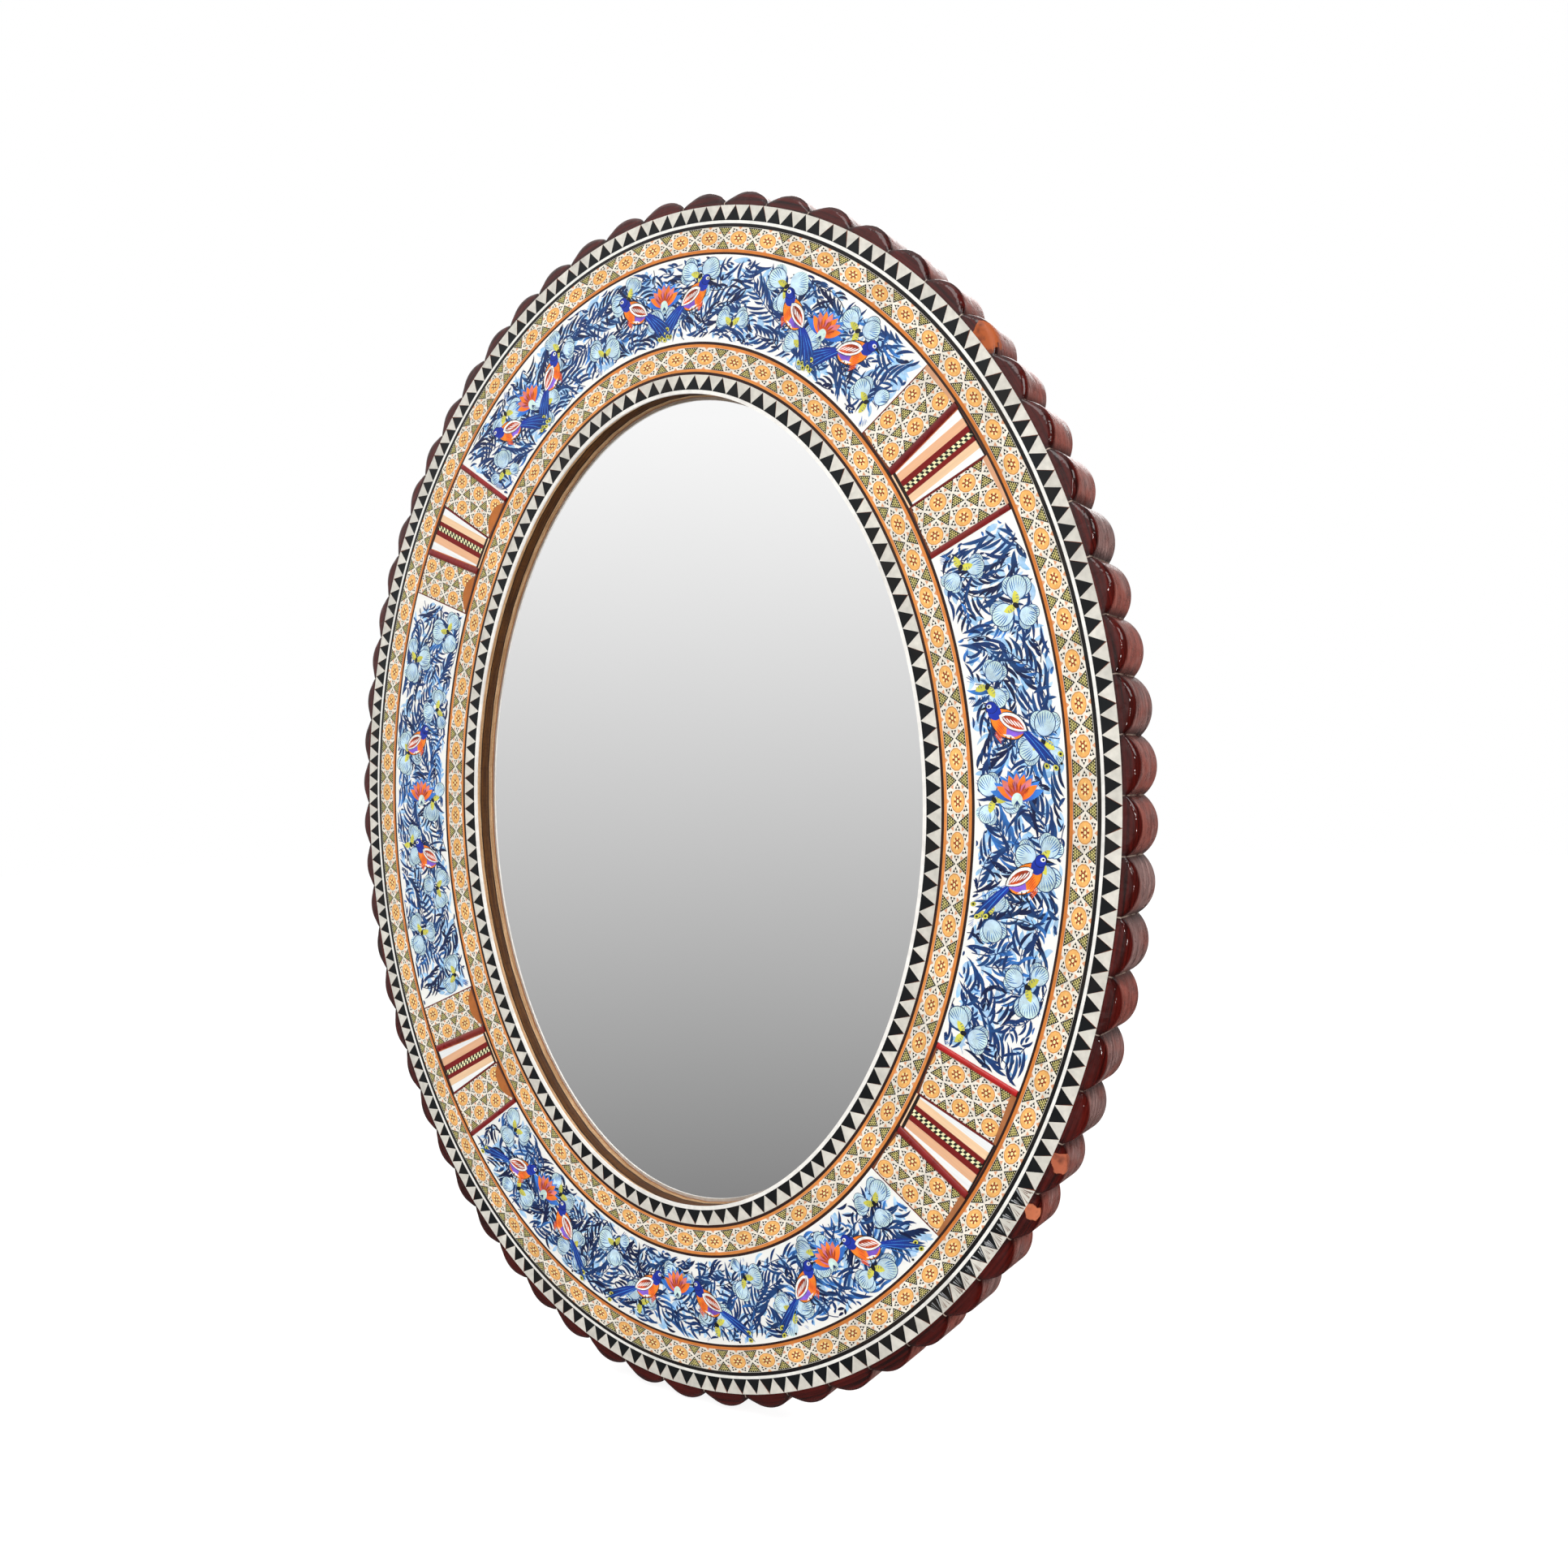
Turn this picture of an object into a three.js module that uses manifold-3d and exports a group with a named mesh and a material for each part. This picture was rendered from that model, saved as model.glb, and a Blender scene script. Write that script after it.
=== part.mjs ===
// Inlaid oval wall mirror, in millimetres. +Z is up, +Y runs into the wall and the viewer stands on -Y.
// The origin is the middle of the backing board's back face, which lies flat on the wall.
import * as THREE from 'three';
import { mergeVertices } from 'three/addons/utils/BufferGeometryUtils.js';
import Module from 'manifold-3d';

// Driving dimensions

// The outer edge of the thin white line is the oval that the whole frame is set out from.
const OVAL_HALF_WIDTH = 184.5;
const OVAL_HALF_HEIGHT = 237.2;

// Widths of the strips, from that oval outward.
const OUTER_TRIANGLE_BAND = 6;
const RIM_VALLEY_WIDTH = 1.2;
const LOBE_HEIGHT = 4.9;

// Widths of the strips, from that oval inward to the opening.
const WHITE_LINE = 1.2;
const OUTER_BLACK_LINE = 1.4;
const OUTER_STAR_BAND = 8.7;
const OUTER_ORANGE_LINE = 1.2;
const OUTER_DARK_LINE = 0.9;
const PAINTED_BAND = 34.6;
const MIDDLE_DARK_LINE = 1.1;
const MIDDLE_ORANGE_LINE = 1.2;
const INNER_STAR_BAND = 8.7;
const INNER_ORANGE_LINE = 1.1;
const INNER_DARK_LINE = 1.1;
const INNER_TRIANGLE_BAND = 6.1;
const BONE_EDGE = 1.5;

// Thickness of each layer, from the face back to the wall.
const INLAY_THICKNESS = 0.8;
const GROUND_THICKNESS = 3.3;
const LIP_THICKNESS = 2.1;
const GLASS_THICKNESS = 4;
const PACKING_THICKNESS = 3.8;
const BACKING_THICKNESS = 6;

// The bone edge stands inward over the boards behind it.
const BONE_OVERHANG = 1.1;

// The carved rim is built up from six blocks, each with eleven lobes.
const LOBES_PER_SEGMENT = 11;
const RIM_SEGMENTS = 6;
const LOBE_STEPS = 4;
const RIM_EDGE_RADIUS = 3;
const MOST_OF_RIM_ROUNDED = 0.7;

// The back board's larger opening holds the glass, the packing sheet and the backing board.
const GLASS_OVERLAP = 5;
const GLASS_CLEARANCE = 0.5;

// Each divider is a fan between two star blocks, with a red bead beside each block.
// These are distances along the oval from the divider's middle, at its outer and inner ends.
const DIVIDER_OUTER_EDGES = [-33.4, -30.8, -9.8, 12.9, 16.0, 36.0];
const DIVIDER_INNER_EDGES = [-35.6, -32.6, -9.0, 9.3, 13.2, 36.8];
const DIVIDER_PIECES = ['bead_a', 'star_block_a', 'fan', 'bead_b', 'star_block_b'];
const DIVIDER_PLACES = [
  { name: 'upper_right', turn: 0.1067, way: 1 },
  { name: 'upper_left', turn: 0.3917, way: 1 },
  { name: 'lower_left', turn: 0.6067, way: -1 },
  { name: 'lower_right', turn: 0.8910, way: -1 },
];
const PANEL_SIDES = ['top', 'left', 'bottom', 'right'];
const BEAD_HEIGHT = 0.8;
const BEAD_END_CLEARANCE = 0.3;
const BEAD_ARC_STEPS = 5;

// Four turn buttons hold the backing board in.
const BUTTON_TURNS = [0.125, 0.375, 0.625, 0.875];
const BUTTON_PIVOT_INSET = 6;
const BUTTON_REACH = 15;
const BUTTON_TAIL = 9;
const BUTTON_WIDTH = 10;
const BUTTON_THICKNESS = 1.2;
const BUTTON_END_STEPS = 8;
const RUNNING_GAP = 0.3;

// One round-headed wood screw is used for the buttons and for the hanger.
const SCREW_SHANK_RADIUS = 1.6;
const SCREW_HEAD_RADIUS = 3.4;
const SCREW_HEAD_HEIGHT = 1.8;
const SCREW_CROWN_RADIUS = 2.7;
const SCREW_CROWN_DROP = 0.5;
const SCREW_LENGTH = 9;
const SCREW_POINT = 2.5;
const SCREW_SIDES = 16;
const HOLE_CLEARANCE = 0.3;

// How far a cutter runs past the face that it cuts.
const CUT_OVERRUN = 1;

// The hanger is a strap folded round the straight side of a D-shaped ring.
const STRAP_WIDTH = 12;
const STRAP_THICKNESS = 1.2;
const STRAP_SCREW_DROP = 17;
const STRAP_TAIL = 6;
const STRAP_END_STEPS = 8;
const STRAP_FOLD_WALL = 0.9;
const HANGER_HEIGHT_IN_FRAME = 0.5;
const RING_WIRE_RADIUS = 1;
const RING_HALF_WIDTH = 9;
const RING_STRAIGHT = 4;
const RING_CORNER_RADIUS = 2;
const RING_WIRE_SIDES = 8;
const RING_CORNER_STEPS = 3;
const RING_BOW_STEPS = 12;

// Offsets of every strip's edge from the oval, outward positive, and depths in Y.

const lobeCount = LOBES_PER_SEGMENT * RIM_SEGMENTS;
const fieldEdge = OUTER_TRIANGLE_BAND;
const whiteLineEdge = -WHITE_LINE;
const outerStarTop = whiteLineEdge - OUTER_BLACK_LINE;
const outerOrangeTop = outerStarTop - OUTER_STAR_BAND;
const outerDarkTop = outerOrangeTop - OUTER_ORANGE_LINE;
const paintedTop = outerDarkTop - OUTER_DARK_LINE;
const paintedFoot = paintedTop - PAINTED_BAND;
const middleOrangeTop = paintedFoot - MIDDLE_DARK_LINE;
const innerStarTop = middleOrangeTop - MIDDLE_ORANGE_LINE;
const innerOrangeTop = innerStarTop - INNER_STAR_BAND;
const innerDarkTop = innerOrangeTop - INNER_ORANGE_LINE;
const innerTriangleTop = innerDarkTop - INNER_DARK_LINE;
const boneEdgeTop = innerTriangleTop - INNER_TRIANGLE_BAND;
const openingEdge = boneEdgeTop - BONE_EDGE;
const boardEdge = openingEdge + BONE_OVERHANG;
const rebateEdge = boardEdge + GLASS_OVERLAP;

const packingBack = -BACKING_THICKNESS;
const glassBack = packingBack - PACKING_THICKNESS;
const lipBack = glassBack - GLASS_THICKNESS;
const groundBack = lipBack - LIP_THICKNESS;
const inlayBack = groundBack - GROUND_THICKNESS;
const face = inlayBack - INLAY_THICKNESS;

// The oval, walked at an even pace so that every lobe is equally wide.

const WALK_SAMPLES = 3600;

function ovalAt(angle) {
  const x = OVAL_HALF_WIDTH * Math.cos(angle);
  const z = OVAL_HALF_HEIGHT * Math.sin(angle);
  const normal = new THREE.Vector2(Math.cos(angle) / OVAL_HALF_WIDTH, Math.sin(angle) / OVAL_HALF_HEIGHT);
  return { point: new THREE.Vector2(x, z), normal: normal.normalize() };
}

const walked = [0];
for (let i = 1; i <= WALK_SAMPLES; i++) {
  const before = ovalAt(((i - 1) / WALK_SAMPLES) * 2 * Math.PI).point;
  const here = ovalAt((i / WALK_SAMPLES) * 2 * Math.PI).point;
  walked.push(walked[i - 1] + before.distanceTo(here));
}
const perimeter = walked[WALK_SAMPLES];

// The place on the oval after a share of the whole way round, counter-clockwise from the right.
function ovalAtTurn(turn) {
  const share = turn - Math.floor(turn);
  const length = share * perimeter;
  let i = Math.min(WALK_SAMPLES, Math.max(1, Math.ceil(share * WALK_SAMPLES)));
  while (i > 1 && walked[i - 1] > length) i--;
  while (i < WALK_SAMPLES && walked[i] < length) i++;
  const within = (length - walked[i - 1]) / (walked[i] - walked[i - 1]);
  return ovalAt(((i - 1 + within) / WALK_SAMPLES) * 2 * Math.PI);
}

// Every strip has a corner at each valley of the rim, so that neighbours share their edges.
function cornerPoint(k, offset) {
  const at = ovalAtTurn((((k % lobeCount) + lobeCount) % lobeCount) / lobeCount);
  return at.point.clone().addScaledVector(at.normal, offset);
}

function edgePoint(turn, offset) {
  const place = turn * lobeCount;
  const k = Math.floor(place + 1e-9);
  const share = Math.max(0, place - k);
  return cornerPoint(k, offset).lerp(cornerPoint(k + 1, offset), share);
}

function edgeLine(fromTurn, toTurn, offset) {
  const points = [edgePoint(fromTurn, offset)];
  const first = Math.ceil(fromTurn * lobeCount + 1e-6);
  const last = Math.floor(toTurn * lobeCount - 1e-6);
  for (let k = first; k <= last; k++) points.push(cornerPoint(k, offset));
  points.push(edgePoint(toTurn, offset));
  return points;
}

function wholeEdge(offset) {
  return Array.from({ length: lobeCount }, (_, k) => cornerPoint(k, offset));
}

// Geometry makers

// A flat plate of the outline, between two depths. The outline is in X and Z.
function plate(outline, front, back, hole) {
  const shape = new THREE.Shape(outline);
  if (hole) shape.holes.push(new THREE.Path(hole));
  const geometry = new THREE.ExtrudeGeometry(shape, { depth: back - front, bevelEnabled: false });
  geometry.rotateX(Math.PI / 2);
  geometry.translate(0, back, 0);
  return geometry;
}

function strip(outerOffset, innerOffset, front, back) {
  return plate(wholeEdge(outerOffset), front, back, wholeEdge(innerOffset));
}

// A closed solid through a row of like sections, each a loop of points.
function sweptSolid(sections, closed) {
  const perLoop = sections[0].length;
  const corners = [];
  const joins = closed ? sections.length : sections.length - 1;
  for (let i = 0; i < joins; i++) {
    const next = (i + 1) % sections.length;
    for (let j = 0; j < perLoop; j++) {
      const k = (j + 1) % perLoop;
      corners.push([i, j], [next, j], [next, k], [i, j], [next, k], [i, k]);
    }
  }
  if (!closed) {
    const last = sections.length - 1;
    for (let j = 1; j < perLoop - 1; j++) {
      corners.push([0, 0], [0, j], [0, j + 1], [last, 0], [last, j + 1], [last, j]);
    }
  }
  const positions = corners.map(([i, j]) => sections[i][j]);
  let volume = 0;
  for (let i = 0; i < positions.length; i += 3) {
    volume += positions[i].dot(positions[i + 1].clone().cross(positions[i + 2]));
  }
  if (volume < 0) positions.reverse();
  const geometry = new THREE.BufferGeometry().setFromPoints(positions);
  geometry.computeVertexNormals();
  return geometry;
}

function disc(radius, sides, x, z) {
  return Array.from({ length: sides }, (_, i) => {
    const angle = (i / sides) * 2 * Math.PI;
    return new THREE.Vector2(x + radius * Math.cos(angle), z + radius * Math.sin(angle));
  });
}

const wasm = await Module();
wasm.setup();

function toSolid(geometry) {
  const bare = geometry.clone();
  bare.deleteAttribute('normal');
  bare.deleteAttribute('uv');
  const merged = mergeVertices(bare, 1e-4);
  return new wasm.Manifold(new wasm.Mesh({
    numProp: 3,
    vertProperties: new Float32Array(merged.attributes.position.array),
    triVerts: new Uint32Array(merged.index.array),
  }));
}

function toGeometry(solid) {
  const mesh = solid.getMesh();
  const geometry = new THREE.BufferGeometry();
  geometry.setAttribute('position', new THREE.BufferAttribute(new Float32Array(mesh.vertProperties), 3));
  geometry.setIndex(new THREE.BufferAttribute(new Uint32Array(mesh.triVerts), 1));
  geometry.computeVertexNormals();
  return geometry;
}

// Materials

function finish(color, roughness, metalness = 0) {
  return () => new THREE.MeshStandardMaterial({ color, roughness, metalness });
}

const varnishedRim = finish(0x4a1c16, 0.25);
const ebony = finish(0x14181a, 0.3);
const bone = finish(0xe4dfd2, 0.3);
const starInlay = finish(0xdcb884, 0.3);
const triangleInlay = finish(0x8a8a84, 0.3);
const orangeWood = finish(0xd07a35, 0.35);
const darkWood = finish(0x2a1512, 0.35);
const redWood = finish(0x7a1a14, 0.25);
const fanWood = finish(0xd9a878, 0.3);
const paintedIvory = finish(0xe9e6df, 0.3);
const rawWood = finish(0xd9b48a, 0.8);
const brownWood = finish(0x4a2b14, 0.5);
const boardWood = finish(0x9a7a55, 0.85);
const cardboard = finish(0xa58a68, 0.95);
const silvered = finish(0xcfd3d4, 0.03, 1);
const plated = finish(0xb9a46a, 0.35, 1);

const mirror = new THREE.Group();

function add(name, geometry, material, parent = mirror) {
  const mesh = new THREE.Mesh(geometry, material());
  mesh.name = name;
  parent.add(mesh);
  return mesh;
}

// Carved rim

const lobePitch = perimeter / lobeCount;
const lobeRadius = (lobePitch ** 2 / 4 + LOBE_HEIGHT ** 2) / (2 * LOBE_HEIGHT);

function rimWidth(step) {
  const across = ((step % LOBE_STEPS) / LOBE_STEPS - 0.5) * lobePitch;
  return RIM_VALLEY_WIDTH + Math.sqrt(lobeRadius ** 2 - across ** 2) - (lobeRadius - LOBE_HEIGHT);
}

function rimSection(step) {
  const turn = step / (lobeCount * LOBE_STEPS);
  const foot = edgePoint(turn, fieldEdge);
  const outward = ovalAtTurn(turn).normal;
  const width = rimWidth(step);
  const radius = Math.min(RIM_EDGE_RADIUS, width * MOST_OF_RIM_ROUNDED);
  const slant = radius * (1 - Math.SQRT1_2);
  const profile = [
    [0, 0], [0, face], [width - radius, face],
    [width - slant, face + slant], [width, face + radius], [width, 0],
  ];
  return profile.map(([out, y]) => {
    const p = foot.clone().addScaledVector(outward, out);
    return new THREE.Vector3(p.x, y, p.y);
  });
}

for (let s = 0; s < RIM_SEGMENTS; s++) {
  const first = s * LOBES_PER_SEGMENT * LOBE_STEPS;
  const sections = [];
  for (let i = 0; i <= LOBES_PER_SEGMENT * LOBE_STEPS; i++) sections.push(rimSection(first + i));
  add(`rim_segment_${s + 1}`, sweptSolid(sections, false), varnishedRim);
}

// Boards behind the inlay

add('ground_board', strip(fieldEdge, boardEdge, inlayBack, groundBack), rawWood);
add('lip_board', strip(fieldEdge, boardEdge, groundBack, lipBack), brownWood);

const pivotOffset = rebateEdge + BUTTON_PIVOT_INSET;
const buttonPivots = BUTTON_TURNS.map((turn) => {
  const at = ovalAtTurn(turn);
  return { point: at.point.clone().addScaledVector(at.normal, pivotOffset), normal: at.normal };
});
const frameWidth = fieldEdge - rebateEdge;
const hangerTop = OVAL_HALF_HEIGHT + rebateEdge + frameWidth * HANGER_HEIGHT_IN_FRAME;
const strapScrew = { x: 0, z: hangerTop - STRAP_SCREW_DROP };
const foldRadius = RING_WIRE_RADIUS + RUNNING_GAP + STRAP_FOLD_WALL;

// A screw's hole in the board, deeper than its point by the clearance.
function screwHole(x, z, seat) {
  const radius = SCREW_SHANK_RADIUS + HOLE_CLEARANCE;
  return toSolid(plate(disc(radius, SCREW_SIDES, x, z), seat - SCREW_LENGTH - HOLE_CLEARANCE, CUT_OVERRUN));
}

const buttonSeat = RUNNING_GAP + BUTTON_THICKNESS + RUNNING_GAP;
const strapSeat = STRAP_THICKNESS;
let backBoard = toSolid(strip(fieldEdge, rebateEdge, lipBack, 0));
for (const pivot of buttonPivots) {
  backBoard = backBoard.subtract(screwHole(pivot.point.x, pivot.point.y, buttonSeat));
}
backBoard = backBoard.subtract(screwHole(strapScrew.x, strapScrew.z, strapSeat));
add('back_board', toGeometry(backBoard), rawWood);

// Inlaid strips, from the rim inward

add('outer_triangle_band', strip(fieldEdge, 0, face, inlayBack), triangleInlay);
add('white_line', strip(0, whiteLineEdge, face, inlayBack), bone);
add('outer_black_line', strip(whiteLineEdge, outerStarTop, face, inlayBack), ebony);
add('outer_star_band', strip(outerStarTop, outerOrangeTop, face, inlayBack), starInlay);
add('outer_orange_line', strip(outerOrangeTop, outerDarkTop, face, inlayBack), orangeWood);
add('outer_dark_line', strip(outerDarkTop, paintedTop, face, inlayBack), darkWood);
add('middle_dark_line', strip(paintedFoot, middleOrangeTop, face, inlayBack), darkWood);
add('middle_orange_line', strip(middleOrangeTop, innerStarTop, face, inlayBack), orangeWood);
add('inner_star_band', strip(innerStarTop, innerOrangeTop, face, inlayBack), starInlay);
add('inner_orange_line', strip(innerOrangeTop, innerDarkTop, face, inlayBack), orangeWood);
add('inner_dark_line', strip(innerDarkTop, innerTriangleTop, face, inlayBack), darkWood);
add('inner_triangle_band', strip(innerTriangleTop, boneEdgeTop, face, inlayBack), triangleInlay);
add('bone_edge', strip(boneEdgeTop, openingEdge, face, inlayBack), bone);

// Painted panels and the dividers between them

function bandPiece(outerTurns, innerTurns) {
  const outer = edgeLine(outerTurns[0], outerTurns[1], paintedTop);
  const inner = edgeLine(innerTurns[0], innerTurns[1], paintedFoot);
  return plate([...outer, ...inner.reverse()], face, inlayBack);
}

// A round-topped bead, a little shorter than the straight sides that it shares with its neighbours.
function bead(outerTurns, innerTurns) {
  const sides = outerTurns.map((turn, i) => {
    return [edgePoint(turn, paintedTop), edgePoint(innerTurns[i], paintedFoot)];
  });
  const endShare = BEAD_END_CLEARANCE / PAINTED_BAND;
  const sections = [endShare, 1 - endShare].map((share) => {
    const [left, right] = sides.map(([outer, inner]) => outer.clone().lerp(inner, share));
    const loop = [new THREE.Vector3(left.x, inlayBack, left.y)];
    for (let i = 0; i <= BEAD_ARC_STEPS; i++) {
      const angle = (i / BEAD_ARC_STEPS) * Math.PI;
      const p = left.clone().lerp(right, (1 - Math.cos(angle)) / 2);
      loop.push(new THREE.Vector3(p.x, face - BEAD_HEIGHT * Math.sin(angle), p.y));
    }
    loop.push(new THREE.Vector3(right.x, inlayBack, right.y));
    return loop;
  });
  return sweptSolid(sections, false);
}

// The turns at which a divider's pieces begin and end, in rising order.
function dividerTurns(place, edges) {
  const turns = edges.map((distance) => place.turn + (place.way * distance) / perimeter);
  return place.way > 0 ? turns : turns.reverse();
}

const pieceMakers = {
  bead_a: bead, star_block_a: bandPiece, fan: bandPiece, bead_b: bead, star_block_b: bandPiece,
};
const pieceFinish = {
  bead_a: redWood, star_block_a: starInlay, fan: fanWood, bead_b: redWood, star_block_b: starInlay,
};
const dividers = DIVIDER_PLACES.map((place) => {
  const outer = dividerTurns(place, DIVIDER_OUTER_EDGES);
  const inner = dividerTurns(place, DIVIDER_INNER_EDGES);
  const names = place.way > 0 ? DIVIDER_PIECES : [...DIVIDER_PIECES].reverse();
  names.forEach((piece, i) => {
    const geometry = pieceMakers[piece]([outer[i], outer[i + 1]], [inner[i], inner[i + 1]]);
    add(`${place.name}_${piece}`, geometry, pieceFinish[piece]);
  });
  return { outer, inner };
});

PANEL_SIDES.forEach((side, i) => {
  const before = dividers[i];
  const after = dividers[(i + 1) % dividers.length];
  const wrap = i + 1 === dividers.length ? 1 : 0;
  const outerTurns = [before.outer.at(-1), after.outer[0] + wrap];
  const innerTurns = [before.inner.at(-1), after.inner[0] + wrap];
  add(`painted_panel_${side}`, bandPiece(outerTurns, innerTurns), paintedIvory);
});

// Glass, packing sheet and backing board in the back board's opening

const glassEdge = rebateEdge - GLASS_CLEARANCE;
add('mirror_glass', plate(wholeEdge(glassEdge), lipBack, glassBack), silvered);
add('packing_sheet', plate(wholeEdge(glassEdge), glassBack, packingBack), cardboard);
add('backing_board', plate(wholeEdge(glassEdge), packingBack, 0), boardWood);

// Turn buttons, each on its own screw

function screwGeometry(seat) {
  const tip = seat - SCREW_LENGTH;
  const profile = [
    [0, tip], [SCREW_SHANK_RADIUS, tip + SCREW_POINT], [SCREW_SHANK_RADIUS, seat], [SCREW_HEAD_RADIUS, seat],
    [SCREW_CROWN_RADIUS, seat + SCREW_HEAD_HEIGHT - SCREW_CROWN_DROP], [0, seat + SCREW_HEAD_HEIGHT],
  ];
  return new THREE.LatheGeometry(profile.map(([r, y]) => new THREE.Vector2(r, y)), SCREW_SIDES);
}

// The button points along its own -X, towards the middle of the glass.
function buttonGeometry() {
  const half = BUTTON_WIDTH / 2;
  const outline = [];
  for (const [centre, start] of [[BUTTON_TAIL - half, -Math.PI / 2], [half - BUTTON_REACH, Math.PI / 2]]) {
    for (let i = 0; i <= BUTTON_END_STEPS; i++) {
      const angle = start + (i / BUTTON_END_STEPS) * Math.PI;
      outline.push(new THREE.Vector2(centre + half * Math.cos(angle), half * Math.sin(angle)));
    }
  }
  const hole = disc(SCREW_SHANK_RADIUS + HOLE_CLEARANCE, SCREW_SIDES, 0, 0);
  return plate(outline, RUNNING_GAP, RUNNING_GAP + BUTTON_THICKNESS, hole);
}

buttonPivots.forEach((pivot, i) => {
  const place = new THREE.Group();
  place.position.set(pivot.point.x, 0, pivot.point.y);
  place.rotation.y = -Math.atan2(pivot.normal.y, pivot.normal.x);
  mirror.add(place);
  add(`turn_button_${i + 1}`, buttonGeometry(), plated, place);
  add(`button_screw_${i + 1}`, screwGeometry(buttonSeat), plated, place);
});

// Hanger strap, its screw and the ring that swings in its fold

const foldCentre = { y: foldRadius, z: hangerTop };

function strapGeometry() {
  const half = STRAP_WIDTH / 2;
  const foot = strapScrew.z;
  const outline = [new THREE.Vector2(-half, hangerTop), new THREE.Vector2(-half, foot)];
  for (let i = 1; i < STRAP_END_STEPS; i++) {
    const angle = Math.PI + (i / STRAP_END_STEPS) * Math.PI;
    outline.push(new THREE.Vector2(half * Math.cos(angle), foot + STRAP_TAIL * Math.sin(angle)));
  }
  outline.push(new THREE.Vector2(half, foot), new THREE.Vector2(half, hangerTop));
  const hole = disc(SCREW_SHANK_RADIUS + HOLE_CLEARANCE, SCREW_SIDES, strapScrew.x, strapScrew.z);
  const fold = (radius, width) => {
    const geometry = new THREE.CylinderGeometry(radius, radius, width, SCREW_SIDES);
    geometry.rotateZ(Math.PI / 2);
    geometry.translate(0, foldCentre.y, foldCentre.z);
    return toSolid(geometry);
  };
  const body = toSolid(plate(outline, 0, STRAP_THICKNESS, hole)).add(fold(foldRadius, STRAP_WIDTH));
  return toGeometry(body.subtract(fold(RING_WIRE_RADIUS + RUNNING_GAP, STRAP_WIDTH + 2 * CUT_OVERRUN)));
}
add('hanger_strap', strapGeometry(), plated);
const strapScrewMesh = add('hanger_screw', screwGeometry(strapSeat), plated);
strapScrewMesh.position.set(strapScrew.x, 0, strapScrew.z);

function ringGeometry() {
  const middle = [];
  const arc = (x, z, radius, from, to, steps) => {
    for (let i = 0; i <= steps; i++) {
      const angle = from + ((to - from) * i) / steps;
      middle.push({ x: x + radius * Math.cos(angle), z: z + radius * Math.sin(angle), angle });
    }
  };
  const corner = RING_HALF_WIDTH - RING_CORNER_RADIUS;
  arc(corner, RING_CORNER_RADIUS, RING_CORNER_RADIUS, -Math.PI / 2, 0, RING_CORNER_STEPS);
  arc(0, RING_STRAIGHT, RING_HALF_WIDTH, 0, Math.PI, RING_BOW_STEPS);
  arc(-corner, RING_CORNER_RADIUS, RING_CORNER_RADIUS, Math.PI, 1.5 * Math.PI, RING_CORNER_STEPS);
  const sections = middle.map(({ x, z, angle }) => Array.from({ length: RING_WIRE_SIDES }, (_, j) => {
    const around = (j / RING_WIRE_SIDES) * 2 * Math.PI;
    const out = RING_WIRE_RADIUS * Math.cos(around);
    return new THREE.Vector3(
      x + out * Math.cos(angle),
      foldCentre.y + RING_WIRE_RADIUS * Math.sin(around),
      foldCentre.z + z + out * Math.sin(angle),
    );
  }));
  return sweptSolid(sections, true);
}
add('hanger_ring', ringGeometry(), plated);

export default mirror;
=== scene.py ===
import math
import random

import bmesh
import bpy
import numpy as np
from mathutils import Matrix, Vector


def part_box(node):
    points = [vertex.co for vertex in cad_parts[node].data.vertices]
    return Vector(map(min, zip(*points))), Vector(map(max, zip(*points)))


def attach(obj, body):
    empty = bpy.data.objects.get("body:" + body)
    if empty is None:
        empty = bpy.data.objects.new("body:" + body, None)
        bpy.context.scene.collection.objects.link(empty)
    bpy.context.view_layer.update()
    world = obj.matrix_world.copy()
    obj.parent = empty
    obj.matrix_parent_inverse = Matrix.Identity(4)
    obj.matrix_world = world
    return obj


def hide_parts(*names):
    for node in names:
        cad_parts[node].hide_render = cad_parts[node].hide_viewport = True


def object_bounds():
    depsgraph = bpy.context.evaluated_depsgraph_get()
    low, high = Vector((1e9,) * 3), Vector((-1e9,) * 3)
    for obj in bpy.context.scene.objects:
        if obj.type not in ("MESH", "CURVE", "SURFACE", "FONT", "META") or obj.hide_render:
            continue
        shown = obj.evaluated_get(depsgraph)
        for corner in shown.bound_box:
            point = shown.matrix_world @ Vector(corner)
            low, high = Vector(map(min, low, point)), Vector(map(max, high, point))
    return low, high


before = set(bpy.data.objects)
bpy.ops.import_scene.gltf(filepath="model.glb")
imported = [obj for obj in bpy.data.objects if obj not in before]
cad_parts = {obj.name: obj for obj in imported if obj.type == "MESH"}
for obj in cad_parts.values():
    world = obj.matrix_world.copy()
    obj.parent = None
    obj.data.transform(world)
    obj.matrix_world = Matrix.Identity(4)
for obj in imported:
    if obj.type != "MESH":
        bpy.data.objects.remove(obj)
cad_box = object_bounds()
bpy.context.scene.view_settings.view_transform = "Standard"

# The camera stands half a metre in front of the mirror and well to its right, level with its middle, and
# looks a little past the glass, as in the photograph. The oval's centre is given as the camera sees it.

MM = 0.001
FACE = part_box("white_line")[0].y
CENTRE_SEEN = Vector((-46.02, 538.37, -7.86)) * MM

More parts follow.
